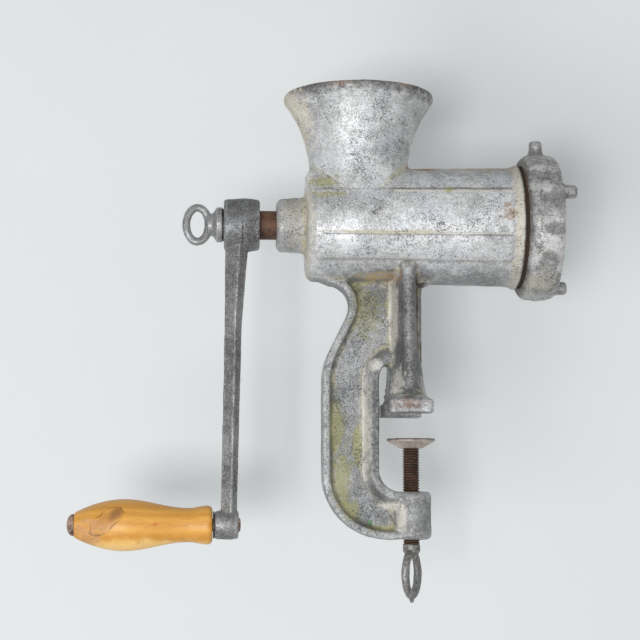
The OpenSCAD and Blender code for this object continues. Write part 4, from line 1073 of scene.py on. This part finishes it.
class GRINDER_OT_ring_nut(bpy.types.Operator):
    """Dress the ring nut"""
    bl_idname = "grinder.ring_nut"
    bl_label = "Ring nut"

    def execute(self, context):
        finish, sizes = settings_of(context)
        bores = (((0, 0, worm_axis().z), "X", RING_HOLE_R),)
        ring = cast_piece(
            "ring_nut", "ring", "tinned_iron", sizes.ring_grid, hollow_r=2.0 * MM, edge_r=0.9 * MM,
            rough=0.08 * MM, bores=bores, seed=23)
        paint(ring, cast_metal(
            "tinned_ring", (0.58, 0.585, 0.58), (0.17, 0.17, 0.168), finish, pitting=0.6, grime=0.7,
            bloom=0.1, shades=RING_SHADES, stains_and_painted_light=RING_STAINS_AND_LIGHT, gloss=0.44, glint=0.3))
        return {"FINISHED"}


class GRINDER_OT_crank(bpy.types.Operator):
    """Dress the crank arm, its washer and the grip's rivet and washer"""
    bl_idname = "grinder.crank"
    bl_label = "Crank"

    def execute(self, context):
        finish, sizes = settings_of(context)
        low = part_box("grip_washer")
        bores = (((0, 0, (low[0].z + low[1].z) / 2), "X", RIVET_HOLE_R),)
        arm = cast_piece(
            "crank_arm", "crank", "dull_iron", sizes.crank_grid, hollow_r=3.0 * MM, edge_r=0.8 * MM,
            rough=0.06 * MM, bores=bores, seed=37)
        paint(arm, cast_metal(
            "dull_crank", finish.iron_light, finish.iron_dark, finish, grime=0.3, wear=0.8, bloom=0.05,
            shades=CRANK_SHADES, stains_and_painted_light=CRANK_STAINS, gloss=0.46, glint=0.40))
        dress("worm_shank", rusted_steel("rusted_fittings", finish))
        dress("grip_spindle", rusted_steel("rivet_rust", finish, (0.60, 0.40, 0.31)))
        dark = ground_steel("dark_washer", (0.12, 0.10, 0.085), (0.04, 0.034, 0.03), 0.5)
        for node in ("crank_washer", "grip_washer"):
            dress(node, dark)
        return {"FINISHED"}


class GRINDER_OT_eye_screw(bpy.types.Operator):
    """Dress the eye screw and cut the thread on its stud"""
    bl_idname = "grinder.eye_screw"
    bl_label = "Eye screw"

    def execute(self, context):
        finish, sizes = settings_of(context)
        eye = cast_piece(
            "eye_screw", "eye", "dull_iron", sizes.small_grid, hollow_r=1.5 * MM, edge_r=0.7 * MM,
            rough=0.06 * MM, seed=41)
        paint(eye, cast_metal(
            "dull_eye", (0.40, 0.405, 0.41), (0.15, 0.15, 0.148), finish, pitting=0.45, grime=0.4, wear=0.8,
            bloom=0.15, gloss=0.40, depth=0.2 * MM))
        lo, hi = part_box("eye_screw_stud")
        crest = (hi.y - lo.y) / 2
        centre = (0, 0, (lo.z + hi.z) / 2)
        stud = threaded_bar("eye_stud_thread", lo.x, hi.x, crest, sizes.eye_pitch, centre, "X")
        settle(stud, "eye", "rusted_steel", "eye_screw_stud")
        paint(stud, rusted_steel("stud_rust", finish))
        return {"FINISHED"}


class GRINDER_OT_grip(bpy.types.Operator):
    """Turn the wooden grip"""
    bl_idname = "grinder.grip"
    bl_label = "Grip"

    def execute(self, context):
        finish, sizes = settings_of(context)
        lo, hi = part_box("grip")
        along, radius = self.profile(sizes, hi.x - lo.x)
        sides = 96
        centre = (lo.x, (lo.y + hi.y) / 2, (lo.z + hi.z) / 2)
        grip = turned("wooden_grip", along, np.repeat(radius[:, None], sides, 1), centre, "X", closed=True)
        face_outwards(grip)
        settle(grip, "grip", "varnished_wood", "grip")
        paint(grip, varnished_wood("amber_varnish", finish, lo, hi))
        return {"FINISHED"}

    def profile(self, sizes, grip_len):
        """Radius along the grip: a sine up to the belly, a cosine down to the waist and up to the bead, a
        round end, and back through the bore."""
        bead_at = grip_len - sizes.grip_bead_len
        x = np.linspace(0.0, bead_at, 150)
        belly, end, waist = sizes.grip_belly_r, sizes.grip_end_r, sizes.grip_waist_r
        swell = end + (belly - end) * np.sin(np.pi / 2 * np.clip(x / sizes.grip_belly_at, 0, 1)) ** 0.85
        t = np.clip((x - sizes.grip_belly_at) / (sizes.grip_waist_at - sizes.grip_belly_at), 0, 1)
        fall = waist + (belly - waist) * (1 + np.cos(np.pi * t)) / 2
        t = np.clip((x - sizes.grip_waist_at) / (bead_at - sizes.grip_waist_at), 0, 1)
        rise = waist + (sizes.grip_bead_r - waist) * (1 - np.cos(np.pi * t)) / 2
        radius = np.where(x < sizes.grip_belly_at, swell, np.where(x < sizes.grip_waist_at, fall, rise))
        bend = np.radians(np.linspace(10, 90, 12))
        round_x = bead_at + sizes.grip_bead_len * np.sin(bend)
        round_r = sizes.grip_bead_r - sizes.grip_bead_len * (1 - np.cos(bend))
        lip = np.linspace(0.0, 1.0, 5)[1:]
        face_in = round_r[-1] + (RIVET_HOLE_R - round_r[-1]) * lip
        face_out = RIVET_HOLE_R + (radius[0] - RIVET_HOLE_R) * lip[:-1]
        along = np.concatenate([x, round_x, np.full(len(face_in), grip_len), np.zeros(1 + len(face_out))])
        radius = np.concatenate([radius, round_r, face_in, [RIVET_HOLE_R], face_out])
        return along, radius


class GRINDER_OT_clamp(bpy.types.Operator):
    """Cut the clamp screw's thread and dress the thumb loop and the pressure pad"""
    bl_idname = "grinder.clamp"
    bl_label = "Clamp"

    def execute(self, context):
        finish, sizes = settings_of(context)
        wing = cast_piece(
            "clamp_wing", "screw", "dull_iron", sizes.small_grid, hollow_r=1.6 * MM, edge_r=0.8 * MM,
            rough=0.07 * MM, seed=53)
        paint(wing, cast_metal(
            "dull_loop", (0.30, 0.30, 0.29), (0.09, 0.09, 0.086), finish, wear=0.8, bloom=0.1,
            stains_and_painted_light=WING_STAINS, gloss=0.40, depth=0.2 * MM))
        pad = cast_piece(
            "pressure_pad", "pad", "dull_iron", sizes.small_grid, hollow_r=1.2 * MM, edge_r=0.5 * MM,
            rough=0.05 * MM, seed=59)
        paint(pad, cast_metal(
            "dull_pad", (0.72, 0.62, 0.55), (0.34, 0.295, 0.26), finish, pitting=0.4, grime=0.4, wear=0.6,
            bloom=0.0, stains_and_painted_light=PAD_SHADE, gloss=0.50, depth=0.2 * MM))
        lo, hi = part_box("clamp_screw")
        plain = ((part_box("clamp_wing")[1].z, SCREW_TAIL_R), (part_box("pressure_pad")[0].z, SCREW_PIVOT_R))
        screw = threaded_bar("clamp_thread", lo.z, hi.z, hi.x, sizes.screw_pitch, (0, 0, 0), "Z", plain)
        settle(screw, "screw", "rusted_steel", "clamp_screw")
        paint(screw, rusted_steel("thread_rust", finish))
        return {"FINISHED"}


class GRINDER_OT_cutting_set(bpy.types.Operator):
    """Dress the worm, the knife, the hole plate and what holds them"""
    bl_idname = "grinder.cutting_set"
    bl_label = "Cutting set"

    def execute(self, context):
        finish, sizes = settings_of(context)
        bores = (((0, 0, worm_axis().z), "X", SOCKET_R),)
        worm = cast_piece(
            "feed_worm", "worm_shaft", "tinned_iron", sizes.worm_grid, hollow_r=3.0 * MM, edge_r=1.0 * MM,
            rough=0.08 * MM, bores=bores, seed=61)
        paint(worm, cast_metal(
            "tinned_worm", (0.60, 0.60, 0.59), (0.22, 0.22, 0.215), finish, pitting=0.4, grime=0.8,
            bloom=0.2))
        bright = ground_steel("ground_steel", finish.steel_light, finish.steel_dark, 0.26)
        for node in ("plate_key", "worm_stud", "knife", "hole_plate"):
            dress(node, bright)
        dress("thrust_washer", ground_steel("washer_steel", (0.40, 0.34, 0.28), (0.14, 0.11, 0.09), 0.4))
        return {"FINISHED"}


def worm_axis():
    """A point on the axis of the worm and the crank."""
    lo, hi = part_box("worm_stud")
    return (lo + hi) / 2


def face_outwards(piece):
    """Turns a closed piece's faces outwards."""
    shape = bmesh.new()
    shape.from_mesh(piece.data)
    bmesh.ops.recalc_face_normals(shape, faces=shape.faces)
    shape.to_mesh(piece.data)
    shape.free()


def threaded_bar(name, start, end, crest, pitch, centre, axis, plain=()):
    """A right-handed threaded bar: its radius falls from the crest by the thread's depth, which climbs one
    pitch a turn. Plain ends, when given, are the places where the thread stops and the radius beyond each."""
    sides = 64
    deepest = 0.61 * pitch
    along = np.arange(start, end, pitch / 12)
    depth = thread_depth(along, np.arange(sides) / sides, pitch)
    radius = crest - deepest * depth
    if plain:
        (low, low_r), (high, high_r) = plain
        radius[along < low] = low_r
        radius[along > high] = high_r
        depth[(along < low) | (along > high)] = 0.0
    piece = turned(name, along, radius, centre, axis)
    note(piece.data, "crevice", depth)
    face_outwards(piece)
    return piece


class GRINDER_PT_panel(bpy.types.Panel):
    """Lists the grinder's pieces, sizes and finishes"""
    bl_idname = "GRINDER_PT_panel"
    bl_label = "Meat grinder"
    bl_space_type = "VIEW_3D"
    bl_region_type = "UI"
    bl_category = "Grinder"

    def draw(self, context):
        for operator in OPERATORS:
            self.layout.operator(operator.bl_idname)
        for settings in (context.scene.grinder_stage, *settings_of(context)):
            box = self.layout.box()
            for key in type(settings).__annotations__:
                box.prop(settings, key)


OPERATORS = (GRINDER_OT_stage, GRINDER_OT_shared_effects, GRINDER_OT_casting, GRINDER_OT_ring_nut,
             GRINDER_OT_crank, GRINDER_OT_eye_screw, GRINDER_OT_grip, GRINDER_OT_clamp,
             GRINDER_OT_cutting_set)
CLASSES = (GrinderStage, GrinderFinish, GrinderSizes, *OPERATORS, GRINDER_PT_panel)


def register():
    """Registers the classes and hangs the settings on the scene."""
    for cls in CLASSES:
        bpy.utils.register_class(cls)
    bpy.types.Scene.grinder_stage = bpy.props.PointerProperty(type=GrinderStage)
    bpy.types.Scene.grinder_finish = bpy.props.PointerProperty(type=GrinderFinish)
    bpy.types.Scene.grinder_sizes = bpy.props.PointerProperty(type=GrinderSizes)


def unregister():
    """Takes the settings and the classes away again."""
    del bpy.types.Scene.grinder_stage
    del bpy.types.Scene.grinder_finish
    del bpy.types.Scene.grinder_sizes
    for cls in reversed(CLASSES):
        bpy.utils.unregister_class(cls)


def main():
    register()
    bpy.ops.grinder.stage()
    bpy.ops.grinder.shared_effects()
    bpy.ops.grinder.casting()
    bpy.ops.grinder.ring_nut()
    bpy.ops.grinder.crank()
    bpy.ops.grinder.eye_screw()
    bpy.ops.grinder.grip()
    bpy.ops.grinder.clamp()
    bpy.ops.grinder.cutting_set()


if __name__ == "__main__":
    main()
